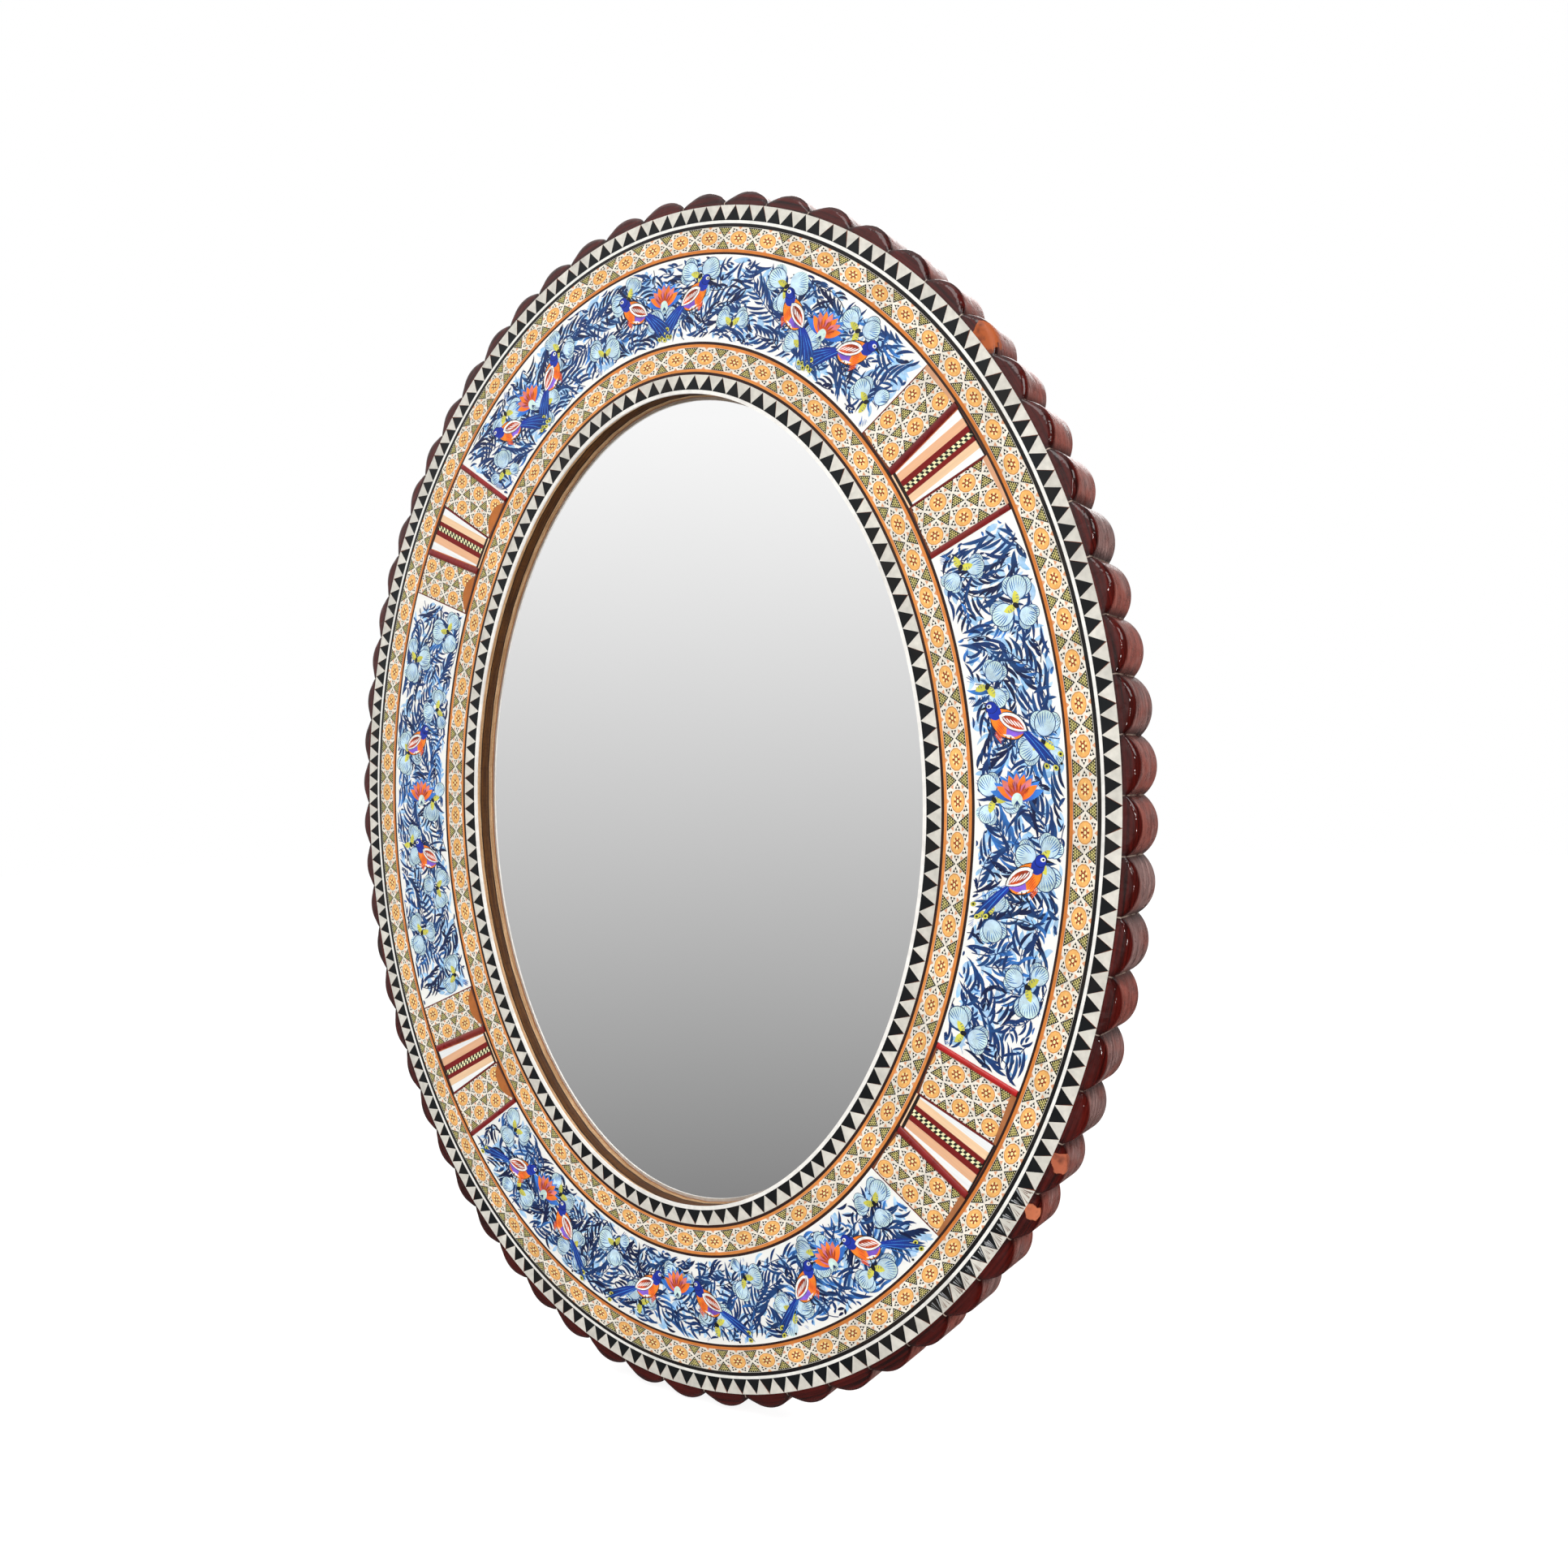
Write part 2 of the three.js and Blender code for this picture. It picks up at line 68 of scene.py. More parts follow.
looks = (
    Matrix.Rotation(math.radians(-1.008), 3, "Y")
    @ Matrix.Rotation(math.radians(-0.091), 3, "X")
    @ Matrix.Rotation(math.radians(-33.079), 3, "Z")
)
camera = bpy.data.objects.new("photo_camera", bpy.data.cameras.new("photo_camera"))
camera.data.sensor_width = 36
camera.data.lens = 29.71
camera.data.clip_start = 0.02
camera.location = Vector((0, FACE, 0)) - looks.transposed() @ CENTRE_SEEN
camera.rotation_euler = (looks.transposed() @ Matrix.Rotation(math.radians(90), 3, "X")).to_euler()
bpy.context.scene.collection.objects.link(camera)
bpy.context.scene.camera = camera

# The mirror stands on its lowest lobe on a white floor, in a white room. What the glass mirrors is a plain
# wall that darkens from the ceiling down, so glossy rays see that wall and the rest see plain light.

ROOM_LIGHT = 0.62
WALL_MIDDLE = 0.65
WALL_SLOPE = 1.29
WALL_DARKEST = 0.2
WALL_DIM_SIDE = 0.12
WALL_DIM_BACK = 0.3
FLOOR_HALF = 4
FLOOR_GAP = 0.3
FLOOR_GLOW = 1.25
FLOOR_GLOW_SHARE = 0.72


def put(tree, kind, sockets, **settings):
    """Adds a node. Sockets are named or numbered, and each takes a value or another node's output."""
    node = tree.nodes.new("ShaderNode" + kind)
    for name, value in settings.items():
        setattr(node, name, value)
    for name, value in sockets.items():
        if isinstance(value, bpy.types.NodeSocket):
            tree.links.new(value, node.inputs[name])
        else:
            node.inputs[name].default_value = value
    return node


def maths(tree, operation, *values):
    """Adds a math node and gives its output."""
    return put(tree, "Math", dict(enumerate(values)), operation=operation).outputs[0]


def ramp(tree, value, start, end, low=0.0, high=1.0):
    """Maps a value's way from start to end onto the way from low to high, and gives the output."""
    return put(tree, "MapRange", {0: value, 1: start, 2: end, 3: low, 4: high}).outputs[0]


room = bpy.data.worlds.new("white_room")
room.use_nodes = True
bpy.context.scene.world = room
tree = room.node_tree
tree.nodes.clear()
direction = put(tree, "TexCoord", {}).outputs["Generated"]
parts = put(tree, "SeparateXYZ", {0: direction}).outputs
wall = maths(tree, "MULTIPLY_ADD", parts["Z"], WALL_SLOPE, WALL_MIDDLE)
wall = maths(tree, "MINIMUM", maths(tree, "MAXIMUM", wall, WALL_DARKEST), 1.0)
dim_side = ramp(tree, parts["X"], 0.25, 0.65, 1.0, WALL_DIM_SIDE)
wall = maths(tree, "MULTIPLY", wall, dim_side)
dim_back = ramp(tree, parts["Y"], 0.0, 0.4, 1.0, WALL_DIM_BACK)
wall = maths(tree, "MULTIPLY", wall, dim_back)
rays = put(tree, "LightPath", {})
mirrored = maths(tree, "MAXIMUM", rays.outputs["Is Glossy Ray"], rays.outputs["Is Transmission Ray"])
level = put(tree, "Mix", {0: mirrored, 2: ROOM_LIGHT, 3: wall}).outputs[0]
level = put(tree, "Mix", {0: rays.outputs["Is Camera Ray"], 2: level, 3: 1.0}).outputs[0]
light = put(tree, "Background", {"Color": (1, 1, 1, 1), "Strength": level})
put(tree, "OutputWorld", {"Surface": light.outputs[0]})

floor_mesh = bpy.data.meshes.new("floor")
corners = [(x * FLOOR_HALF, y * FLOOR_HALF, 0) for x, y in ((-1, -1), (1, -1), (1, 1), (-1, 1))]
floor_mesh.from_pydata(corners, [], [(0, 1, 2, 3)])
floor = bpy.data.objects.new("floor", floor_mesh)
floor.location.z = cad_box[0].z - FLOOR_GAP * MM
floor.visible_glossy = False
bpy.context.scene.collection.objects.link(floor)
floor_finish = bpy.data.materials.new("white_floor")
floor_finish.use_nodes = True
tree = floor_finish.node_tree
tree.nodes.clear()
lit = put(tree, "BsdfDiffuse", {"Color": (0.9, 0.9, 0.9, 1)})
bright = put(tree, "Emission", {"Strength": FLOOR_GLOW})
is_camera = put(tree, "LightPath", {}).outputs["Is Camera Ray"]
share = maths(tree, "MULTIPLY", is_camera, FLOOR_GLOW_SHARE)
mixed = put(tree, "MixShader", {0: share, 1: lit.outputs[0], 2: bright.outputs[0]})
put(tree, "OutputMaterial", {"Surface": mixed.outputs[0]})
floor_mesh.materials.append(floor_finish)

LAMPS = [
    {"name": "high_front", "place": (0.5, -1.3, 1.7), "size": 1.2, "watts": 17},
    {"name": "high_right", "place": (1.7, -0.5, 1.0), "size": 0.7, "watts": 9},
    {"name": "behind", "place": (-0.4, 1.6, 1.3), "size": 1.2, "watts": 14},
    {"name": "glint_right", "place": (1.3, -1.0, 0.35), "size": 0.08, "watts": 3.0},
    {"name": "glint_low", "place": (1.1, -0.9, -0.25), "size": 0.07, "watts": 2.0},
]
for lamp in LAMPS:
    data = bpy.data.lights.new(lamp["name"], "AREA")
    data.size = lamp["size"]
    data.energy = lamp["watts"]
    held = bpy.data.objects.new(lamp["name"], data)
    held.location = lamp["place"]
    held.rotation_euler = (-Vector(lamp["place"])).to_track_quat("-Z", "Y").to_euler()
    bpy.context.scene.collection.objects.link(held)

# The rim is built up from six blocks of hardwood, carved into scallops with a rounded front edge and brushed
# with a dark red-brown varnish. Its inner side is glued round the boards that carry the inlay.

HALF_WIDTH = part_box("white_line")[1].x
HALF_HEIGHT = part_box("white_line")[1].z
LOBES = 66
LOBES_PER_BLOCK = 11
FIELD_EDGE = 6.0 * MM
VALLEY_WIDTH = 1.2 * MM
LOBE_HEIGHT = 4.9 * MM
EDGE_RADIUS = 3.0 * MM
BACK_EDGE_RADIUS = 0.5 * MM
STEPS_PER_LOBE = 20
FRONT_EDGE_STEPS = 9
BACK_EDGE_STEPS = 4
SIDE_DEPTHS = (-12 * MM, -6 * MM)
SCUFF_SOFTNESS = 0.5
SCUFFS = [
    {"turn": 0.127, "out": 3.5, "radius": 6.5, "colour": "a8501e"},
    {"turn": 0.8885, "out": 3.0, "radius": 4.2, "colour": "c26a44"},
    {"turn": 0.9045, "out": 3.5, "radius": 4.2, "colour": "b05a3a"},
]

walk = np.linspace(0, 2 * math.pi, 7201)
walked = np.hypot(np.diff(HALF_WIDTH * np.cos(walk)), np.diff(HALF_HEIGHT * np.sin(walk)))
walked = np.concatenate([[0], np.cumsum(walked)])
PERIMETER = walked[-1]
lobe_pitch = PERIMETER / LOBES
lobe_radius = (lobe_pitch**2 / 4 + LOBE_HEIGHT**2) / (2 * LOBE_HEIGHT)


def oval(turn, offset):
    """Points on the oval after a share of the way round, from the right upwards, moved out by the offset."""
    angle = np.interp(np.mod(turn, 1) * PERIMETER, walked, walk)
    across, up = np.cos(angle) * HALF_HEIGHT, np.sin(angle) * HALF_WIDTH
    length = np.hypot(across, up)
    x = HALF_WIDTH * np.cos(angle) + offset * across / length
    z = HALF_HEIGHT * np.sin(angle) + offset * up / length
    return np.stack([x, z], -1)


measured = {}


def turn_at(share, offset):
    """The turn at a share of the length of the curve that lies at that offset, from the right upwards."""
    turns = np.linspace(0, 1, 2001)
    if offset not in measured:
        path = oval(turns, offset)
        measured[offset] = np.concatenate([[0], np.cumsum(np.hypot(*np.diff(path, axis=0).T))])
    length = measured[offset]
    whole = np.floor(share)
    return whole + np.interp((share - whole) * length[-1], length, turns)


def at_depth(flat, depth):
    """Lays points of the X and Z plane at a depth."""
    depth = np.broadcast_to(depth, flat.shape[:-1])
    return np.stack([flat[..., 0], depth, flat[..., 1]], -1)


def swept(sections, closed):
    """Points and faces of a solid through a row of like sections, each a loop of points."""
    count, corners = sections.shape[:2]
    index = np.arange(count * corners).reshape(count, corners)
    ahead = np.roll(index, -1, 0)
    joins = count if closed else count - 1
    quads = np.stack([index, ahead, np.roll(ahead, -1, 1), np.roll(index, -1, 1)], -1)[:joins]
    faces = quads.reshape(-1, 4).tolist()
    if not closed:
        faces += [index[0].tolist(), index[-1].tolist()[::-1]]
    return sections.reshape(-1, 3), faces


def piece(name, points, faces, finishes, body="frame", instead_of=(), solid=True):
    """Makes a mesh object that rides on a body and stands for its CAD nodes."""
    mesh = bpy.data.meshes.new(name)
    mesh.from_pydata(np.asarray(points).tolist(), [], faces)
    if solid:
        work = bmesh.new()
        work.from_mesh(mesh)
        bmesh.ops.recalc_face_normals(work, faces=work.faces)
        work.to_mesh(mesh)
        work.free()
    for finish in finishes:
        mesh.materials.append(finish)
    made = bpy.data.objects.new(name, mesh)
    bpy.context.scene.collection.objects.link(made)
    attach(made, body)
    if instead_of:
        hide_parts(*instead_of)
    return made


def soften(made, degrees):
    """Shades a piece smooth, apart from edges sharper than that."""
    made.data.shade_smooth()
    made.data.set_sharp_from_angle(angle=math.radians(degrees))


def shade(text):
    """A colour written as six hexadecimal digits, as a linear colour."""
    parts = [int(text[i : i + 2], 16) / 255 for i in (0, 2, 4)]
    return tuple(c / 12.92 if c <= 0.04045 else ((c + 0.055) / 1.055) ** 2.4 for c in parts) + (1.0,)


def new_group(name, inputs, outputs):
    """An empty node group with named inputs, each a kind and a value, and named outputs."""
    group = bpy.data.node_groups.new(name, "ShaderNodeTree")
    for label, (kind, value) in inputs.items():
        socket = group.interface.new_socket(label, in_out="INPUT", socket_type="NodeSocket" + kind)
        if value is not None:
            socket.default_value = value
    for label, kind in outputs.items():
        group.interface.new_socket(label, in_out="OUTPUT", socket_type="NodeSocket" + kind)
    return group, group.nodes.new("NodeGroupInput").outputs, group.nodes.new("NodeGroupOutput").inputs


def placed(tree, group, sockets):
    """Places a node group in a tree and gives its outputs."""
    return put(tree, "Group", sockets, node_tree=group).outputs


def blend(tree, share, under, over):
    """Lays a share of one colour over another and gives the output."""
    return put(tree, "Mix", {0: share, 6: under, 7: over}, data_type="RGBA").outputs[2]


def noise(tree, place, scale, detail, distortion=0.0):
    """Adds a noise texture and gives its value."""
    sockets = {"Vector": place, "Scale": scale, "Detail": detail, "Distortion": distortion}
    return put(tree, "TexNoise", sockets).outputs[0]


def where_on(tree):
    """The place on the piece, as the object's own coordinates."""
    return put(tree, "TexCoord", {}).outputs["Object"]


def emboss(tree, shader, height, strength, distance):
    """Raises the surface by a height, over a distance in mm."""
    relief = put(tree, "Bump", {"Strength": strength, "Distance": distance * MM, "Height": height}).outputs[0]
    tree.links.new(relief, shader.inputs["Normal"])


def new_finish(name, **plain):
    """A material with a Principled shader, whose plain values are set on its own sockets."""
    finish = bpy.data.materials.new(name)
    finish.use_nodes = True
    finish.node_tree.nodes.clear()
    sockets = {label.replace("_", " "): value for label, value in plain.items()}
    shader = put(finish.node_tree, "BsdfPrincipled", sockets)
    put(finish.node_tree, "OutputMaterial", {"Surface": shader.outputs[0]})
    return finish, finish.node_tree, shader


grain, given, out = new_group(
    "wood_grain",
    {
        "Vector": ("Vector", None),
        "Stretch": ("Vector", (1.0, 1.0, 1.0)),
        "Pale": ("Color", (1.0, 1.0, 1.0, 1.0)),
        "Dark": ("Color", (0.0, 0.0, 0.0, 1.0)),
        "Pores": ("Float", 0.3),
    },
    {"Color": "Color", "Height": "Float"},
)
drawn_out = {0: given["Vector"], 1: given["Stretch"]}
stretched = put(grain, "VectorMath", drawn_out, operation="MULTIPLY").outputs[0]
bands = noise(grain, stretched, 1.0, 5.0, 0.4)
fine = noise(grain, stretched, 4.5, 3.0)
tone = ramp(grain, bands, 0.3, 0.7)
body_colour = blend(grain, tone, given["Dark"], given["Pale"])
pore = ramp(grain, fine, 0.42, 0.3)
pore = maths(grain, "MULTIPLY", pore, given["Pores"])
coloured = blend(grain, pore, body_colour, given["Dark"])
grain.links.new(coloured, out["Color"])
grain.links.new(maths(grain, "SUBTRACT", bands, pore), out["Height"])


def grained(tree, place, stretch, pale, dark, pores):
    """Places the wood grain in a tree and gives its outputs. It runs along the least stretch."""
    sockets = {"Vector": place, "Stretch": stretch, "Pale": pale, "Dark": dark, "Pores": pores}
    return placed(tree, grain, sockets)


varnish, tree, shader = new_finish("varnished_rim", Specular_IOR_Level=0.4)
along_edge = put(tree, "UVMap", {}, uv_map="grain").outputs[0]
front_wood = grained(tree, along_edge, (25.0, 700.0, 1.0), shade("54140f"), shade("1c0605"), 0.5)
# Painted light: the side grain is paler and greyer than the front's, as a painted sheen of the light from the
# side, and blotches make it redder in places.
side_wood = grained(tree, along_edge, (45.0, 1500.0, 1.0), shade("b28e88"), shade("451e1a"), 0.8)
object_place = where_on(tree)
depth_here = put(tree, "SeparateXYZ", {0: object_place}).outputs["Y"]
runs = noise(tree, object_place, 210.0, 4.0)
passed_here = put(tree, "SeparateXYZ", {0: along_edge}).outputs["X"]
lobe_here = maths(tree, "DIVIDE", passed_here, lobe_pitch)
own_lobe = maths(tree, "FLOOR", lobe_here)
lobe_tone = put(tree, "TexWhiteNoise", {"W": own_lobe}, noise_dimensions="1D").outputs[0]
blotches = noise(tree, object_place, 95.0, 3.0)
redder = maths(tree, "MULTIPLY_ADD", lobe_tone, 0.35, maths(tree, "SUBTRACT", blotches, 0.3))
redder = ramp(tree, redder, 0.22, 0.5, 0.0, 0.7)
lit_side_colour = blend(tree, redder, side_wood["Color"], shade("9a4230"))
in_pores = ramp(tree, side_wood["Height"], 0.1, 0.42, 0.75, 0.0)
lit_side_colour = blend(tree, in_pores, lit_side_colour, shade("26100d"))
# Painted light: from a little behind the front, the rim takes the lighter side colour in patches that a noise
# leaves, so that the sides look lit.
side_share = ramp(tree, depth_here, FACE + 2.0 * MM, FACE + 3.6 * MM)
worn = ramp(tree, runs, 0.3, 0.6, 0.55, 1.0)
side_share = maths(tree, "MULTIPLY", side_share, worn)
rim_colour = blend(tree, side_share, front_wood["Color"], lit_side_colour)
from_middle = maths(tree, "ABSOLUTE", maths(tree, "SUBTRACT", maths(tree, "FRACT", lobe_here), 0.5))
# Painted shade with dirt: each lobe darkens towards the valleys on both sides of it.
valley_shade_and_dirt = ramp(tree, from_middle, 0.36, 0.49, 0.0, 0.75)
rim_colour = blend(tree, valley_shade_and_dirt, rim_colour, shade("140606"))
# Painted highlight: a thin pale line along each valley, broken in places by noise.
valley_highlight = ramp(tree, from_middle, 0.484, 0.496, 0.0, 0.75)
valley_highlight = maths(tree, "MULTIPLY", valley_highlight, ramp(tree, runs, 0.4, 0.6))
rim_colour = blend(tree, valley_highlight, rim_colour, shade("c4b0a0"))
rough = ramp(tree, side_share, 0.0, 1.0, 0.07, 0.34)
for scuff in SCUFFS:
    flat = oval(scuff["turn"], FIELD_EDGE + scuff["out"] * MM)
    ends = {0: object_place, 1: (flat[0], FACE, flat[1])}
    away = put(tree, "VectorMath", ends, operation="DISTANCE").outputs["Value"]
    away = maths(tree, "MULTIPLY_ADD", maths(tree, "SUBTRACT", runs, 0.5), 6.0 * MM, away)
    away = maths(tree, "MULTIPLY_ADD", maths(tree, "SUBTRACT", blotches, 0.5), 9.0 * MM, away)
    bare = ramp(tree, away, scuff["radius"] * MM, (scuff["radius"] - SCUFF_SOFTNESS) * MM)
    speckled = maths(tree, "MULTIPLY", bare, ramp(tree, runs, 0.32, 0.5, 0.3))
    rim_colour = blend(tree, speckled, rim_colour, shade(scuff["colour"]))
    rough = put(tree, "Mix", {0: bare, 2: rough, 3: 0.5}).outputs[0]
tree.links.new(rim_colour, shader.inputs["Base Color"])
tree.links.new(rough, shader.inputs["Roughness"])
brushed = noise(tree, object_place, 150.0, 3.0, 0.8)
waves = put(tree, "Bump", {"Strength": 0.6, "Distance": 0.9 * MM, "Height": brushed}).outputs[0]
streaks = maths(tree, "MULTIPLY_ADD", side_wood["Height"], side_share, runs)
relief = put(tree, "Bump", {"Strength": 0.4, "Distance": 0.25 * MM, "Height": streaks, "Normal": waves})
tree.links.new(relief.outputs[0], shader.inputs["Normal"])


def rim_section(turn):
    """The rim's loop of offsets and depths there, from its inner front corner outwards and back."""
    across = ((turn * LOBES) % 1 - 0.5) * lobe_pitch
    width = VALLEY_WIDTH + math.sqrt(lobe_radius**2 - across**2) - (lobe_radius - LOBE_HEIGHT)
    radius = min(EDGE_RADIUS, width * 0.7)
    outside = FIELD_EDGE + width
    loop = [(FIELD_EDGE, FACE)]
    for angle in np.linspace(0, math.pi / 2, FRONT_EDGE_STEPS):
        loop.append((outside - radius + radius * math.sin(angle), FACE + radius * (1 - math.cos(angle))))
    loop += [(outside, depth) for depth in SIDE_DEPTHS]
    for angle in np.linspace(0, math.pi / 2, BACK_EDGE_STEPS):
        drop = BACK_EDGE_RADIUS * (1 - math.cos(angle))
        loop.append((outside - drop, -BACK_EDGE_RADIUS * (1 - math.sin(angle))))
    return loop + [(FIELD_EDGE, 0.0)]


for block in range(LOBES // LOBES_PER_BLOCK):
    steps = np.arange(LOBES_PER_BLOCK * STEPS_PER_LOBE + 1) + block * LOBES_PER_BLOCK * STEPS_PER_LOBE
    turns = steps / (LOBES * STEPS_PER_LOBE)
    loops = np.array([rim_section(turn) for turn in turns])
    sections = at_depth(oval(turns[:, None], loops[..., 0]), loops[..., 1])
    points, faces = swept(sections, False)
    name, node = f"rim_block_{block + 1}", f"rim_segment_{block + 1}"
    rim = piece(name, points, faces, [varnish], instead_of=[node])
    soften(rim, 40)
    unrolled = rim.data.uv_layers.new(name="grain")
    corners = loops.shape[1]
    lengths = np.hypot(*np.diff(loops, axis=1).transpose(2, 0, 1))
    down = np.concatenate([np.zeros((len(turns), 1)), np.cumsum(lengths, 1)], 1)
    for loop in rim.data.loops:
        section, corner = divmod(loop.vertex_index, corners)
        unrolled.data[loop.index].uv = (turns[section] * PERIMETER, down[section, corner])

# Two bands of ebony and bone triangles border the inlay, one inside the rim and one round the opening. The
# black ones stand on each band's inner edge, with bone ones between them. Each slip is cut by hand.

OUTER_TRIANGLES = 195
INNER_TRIANGLES = 130
OUTER_TRIANGLE_EDGES = (6.0 * MM, 0.0)
INNER_TRIANGLE_EDGES = (-61.2 * MM, -67.3 * MM)
INLAY_BACK = FACE + 0.8 * MM
CUTTING_ERROR = 0.22 * MM
BED_DROP = 0.02 * MM
CRAZED = (0.845, 0.893)
STAIN = (0.1, 0.06, 0.03, 1.0)
RING_STEPS = 720
CRACK_LIFT = 0.004 * MM
ROW_GAP = 0.4 * MM

mottle, given, out = new_group(
    "slip_mottle",
    {
        "Color": ("Color", (1.0, 1.0, 1.0, 1.0)),
        "Scale": ("Float", 300.0),
        "Amount": ("Float", 0.2),
        "Stain Amount": ("Float", 0.15),
    },
    {"Color": "Color", "Height": "Float"},
)
where = where_on(mottle)
cloud = noise(mottle, where, given["Scale"], 4.0)
wide = noise(mottle, where, 38.0, 3.0)
lift = ramp(mottle, cloud, 0.25, 0.75, -1.0, 1.0)
lift = maths(mottle, "MULTIPLY_ADD", lift, given["Amount"], 1.0)
bright = put(mottle, "VectorMath", {0: given["Color"], "Scale": lift}, operation="SCALE").outputs[0]
stained = maths(mottle, "MULTIPLY", ramp(mottle, wide, 0.5, 0.75), given["Stain Amount"])
mixed = blend(mottle, stained, bright, STAIN)
mottle.links.new(mixed, out["Color"])
mottle.links.new(cloud, out["Height"])


def mottled(tree, colour, scale, amount, stain_amount):
    """Places the mottle in a tree and gives its outputs."""
    sockets = {"Color": colour, "Scale": scale, "Amount": amount, "Stain Amount": stain_amount}
    return placed(tree, mottle, sockets)


def slip_colour(tree):
    """The colour painted on each slip."""
    return put(tree, "Attribute", {}, attribute_name="slip").outputs["Color"]


def inlay_finish(name, colour, amount, stain_amount, roughness, coat):
    """A finish for cut slips, in one colour, or in the colour painted on each slip where it is None."""
    finish, tree, shader = new_finish(name, Coat_Weight=coat, Coat_Roughness=0.18, Specular_IOR_Level=0.25)
    source = colour or slip_colour(tree)
    look = mottled(tree, source, 420.0, amount, stain_amount)
    tree.links.new(look["Color"], shader.inputs["Base Color"])
    rough = ramp(tree, look["Height"], 0.2, 0.8, roughness - 0.08, roughness + 0.08)
    tree.links.new(rough, shader.inputs["Roughness"])
    emboss(tree, shader, look["Height"], 0.3, 0.04)
    return finish


slips = inlay_finish("inlay_slips", None, 0.12, 0.1, 0.45, 0.0)
glue_bed = inlay_finish("glue_bed", shade("7a4026"), 0.2, 0.1, 0.7, 0.0)


def colour_faces(made, first, colours):
    """Paints a colour on each face from the first one on, for the finishes that take a slip's own colour."""
    layer = made.data.color_attributes.new("slip", "FLOAT_COLOR", "CORNER")
    corners = [len(face.vertices) for face in made.data.polygons]
    painted = np.ones((len(corners), 4), np.float32)
    painted[first:] = colours
    layer.data.foreach_set("color", np.repeat(painted, corners, axis=0).ravel())


def read(items, name, width=1, kind=float):
    """One property of all the vertices, faces or corners of a mesh."""
    found = np.empty(len(items) * width, kind)
    items.foreach_get(name, found)
    return found.reshape(-1, width) if width > 1 else found


def unroll(made, outer, inner, rows, middle_turn=0.0):
    """Lays out the map that a finish is baked through: the piece unrolled along its curve, cut into rows."""
    turns = np.linspace(0, 1, 4001)
    curve, edge = oval(turns, (outer + inner) / 2), oval(turns, outer)
    bearings = [np.unwrap(np.arctan2(line[:, 1], line[:, 0])) for line in (curve, edge)]
    passed = np.concatenate([[0], np.cumsum(np.hypot(*np.diff(curve, axis=0).T))])
    whole = passed[-1]
    mesh = made.data
    corners = read(mesh.loops, "vertex_index", kind=int)
    starts = read(mesh.polygons, "loop_start", kind=int)
    sizes = np.diff(np.append(starts, len(corners)))
    face = np.repeat(np.arange(len(starts)), sizes)
    x, y, z = read(mesh.vertices, "co", 3)[corners].T
    normal_x, _, normal_z = read(mesh.polygons, "normal", 3)[face].T
    radius, bearing = np.hypot(x, z), np.mod(np.arctan2(z, x), 2 * math.pi)
    drop = y - FACE
    across = np.interp(bearing, bearings[1], np.hypot(*edge.T)) - radius
    across -= drop * (normal_x * x + normal_z * z) / radius
    along = np.interp(bearing, bearings[0], passed) - np.interp(middle_turn % 1, turns, passed)
    along += drop * (normal_z * x - normal_x * z) / radius
    first = ((along[starts] + whole / 2) % whole - whole / 2)[face]
    along = first + (along - first + whole / 2) % whole - whole / 2
    middles = np.add.reduceat(along, starts) / sizes
    low = middles.min()
    step = (middles.max() - low) / rows
    row = np.clip((middles - low) // step, 0, rows - 1)[face]
    over = along - low - row * step
    margin = max(-over.min(), over.max() - step)
    pitch = across.max() - across.min() + ROW_GAP
    side = max(step + 2 * margin, rows * pitch)
    laid = np.stack([over + margin, row * pitch + across - across.min() + ROW_GAP / 2], -1) / side
    mesh.uv_layers.new(name="OFBake").data.foreach_set("uv", laid.ravel())


def around(turns, outer, inner, front, back):
    """Sections of a flat strip between two offsets and two depths."""
    flat = np.stack([oval(turns, o) for o in (outer, inner, inner, outer)], 1)
    return at_depth(flat, np.array([front, front, back, back]))


def varied(colour, dice, amount):
    """That colour, lightened or darkened at random by up to the amount."""
    lift = 1 + dice.uniform(-amount, amount)
    return tuple(min(1.0, c * lift) for c in colour[:3]) + (1.0,)


def face_front(made, first):
    """Turns the faces from the first one on to the front and gives them the second finish."""
    work = bmesh.new()
    work.from_mesh(made.data)
    work.faces.ensure_lookup_table()
    bmesh.ops.recalc_face_normals(work, faces=work.faces[:first])
    for face in work.faces[first:]:
        face.material_index = 1
        if face.normal.y > 0:
            face.normal_flip()
    work.to_mesh(made.data)
    work.free()


def mosaic(name, outline, closed, shapes, colours, instead_of, top=slips, cracks=0):
    """Slips on a bed: a closed bed through the outline's sections, and flat shapes of one colour each on it.
    The last shapes may be cracks, which lie a hair above the slips."""
    points, faces = swept(outline, closed)
    points, bed_faces = list(points), len(faces)
    for number, shape in enumerate(shapes):
        depth = FACE - (CRACK_LIFT if number >= len(shapes) - cracks else 0.0)
        faces.append(list(range(len(points), len(points) + len(shape))))
        points += list(at_depth(np.asarray(shape), depth))
    made = piece(name, points, faces, [glue_bed, top], instead_of=instead_of, solid=False)
    face_front(made, bed_faces)
    colour_faces(made, bed_faces, colours)
    return made


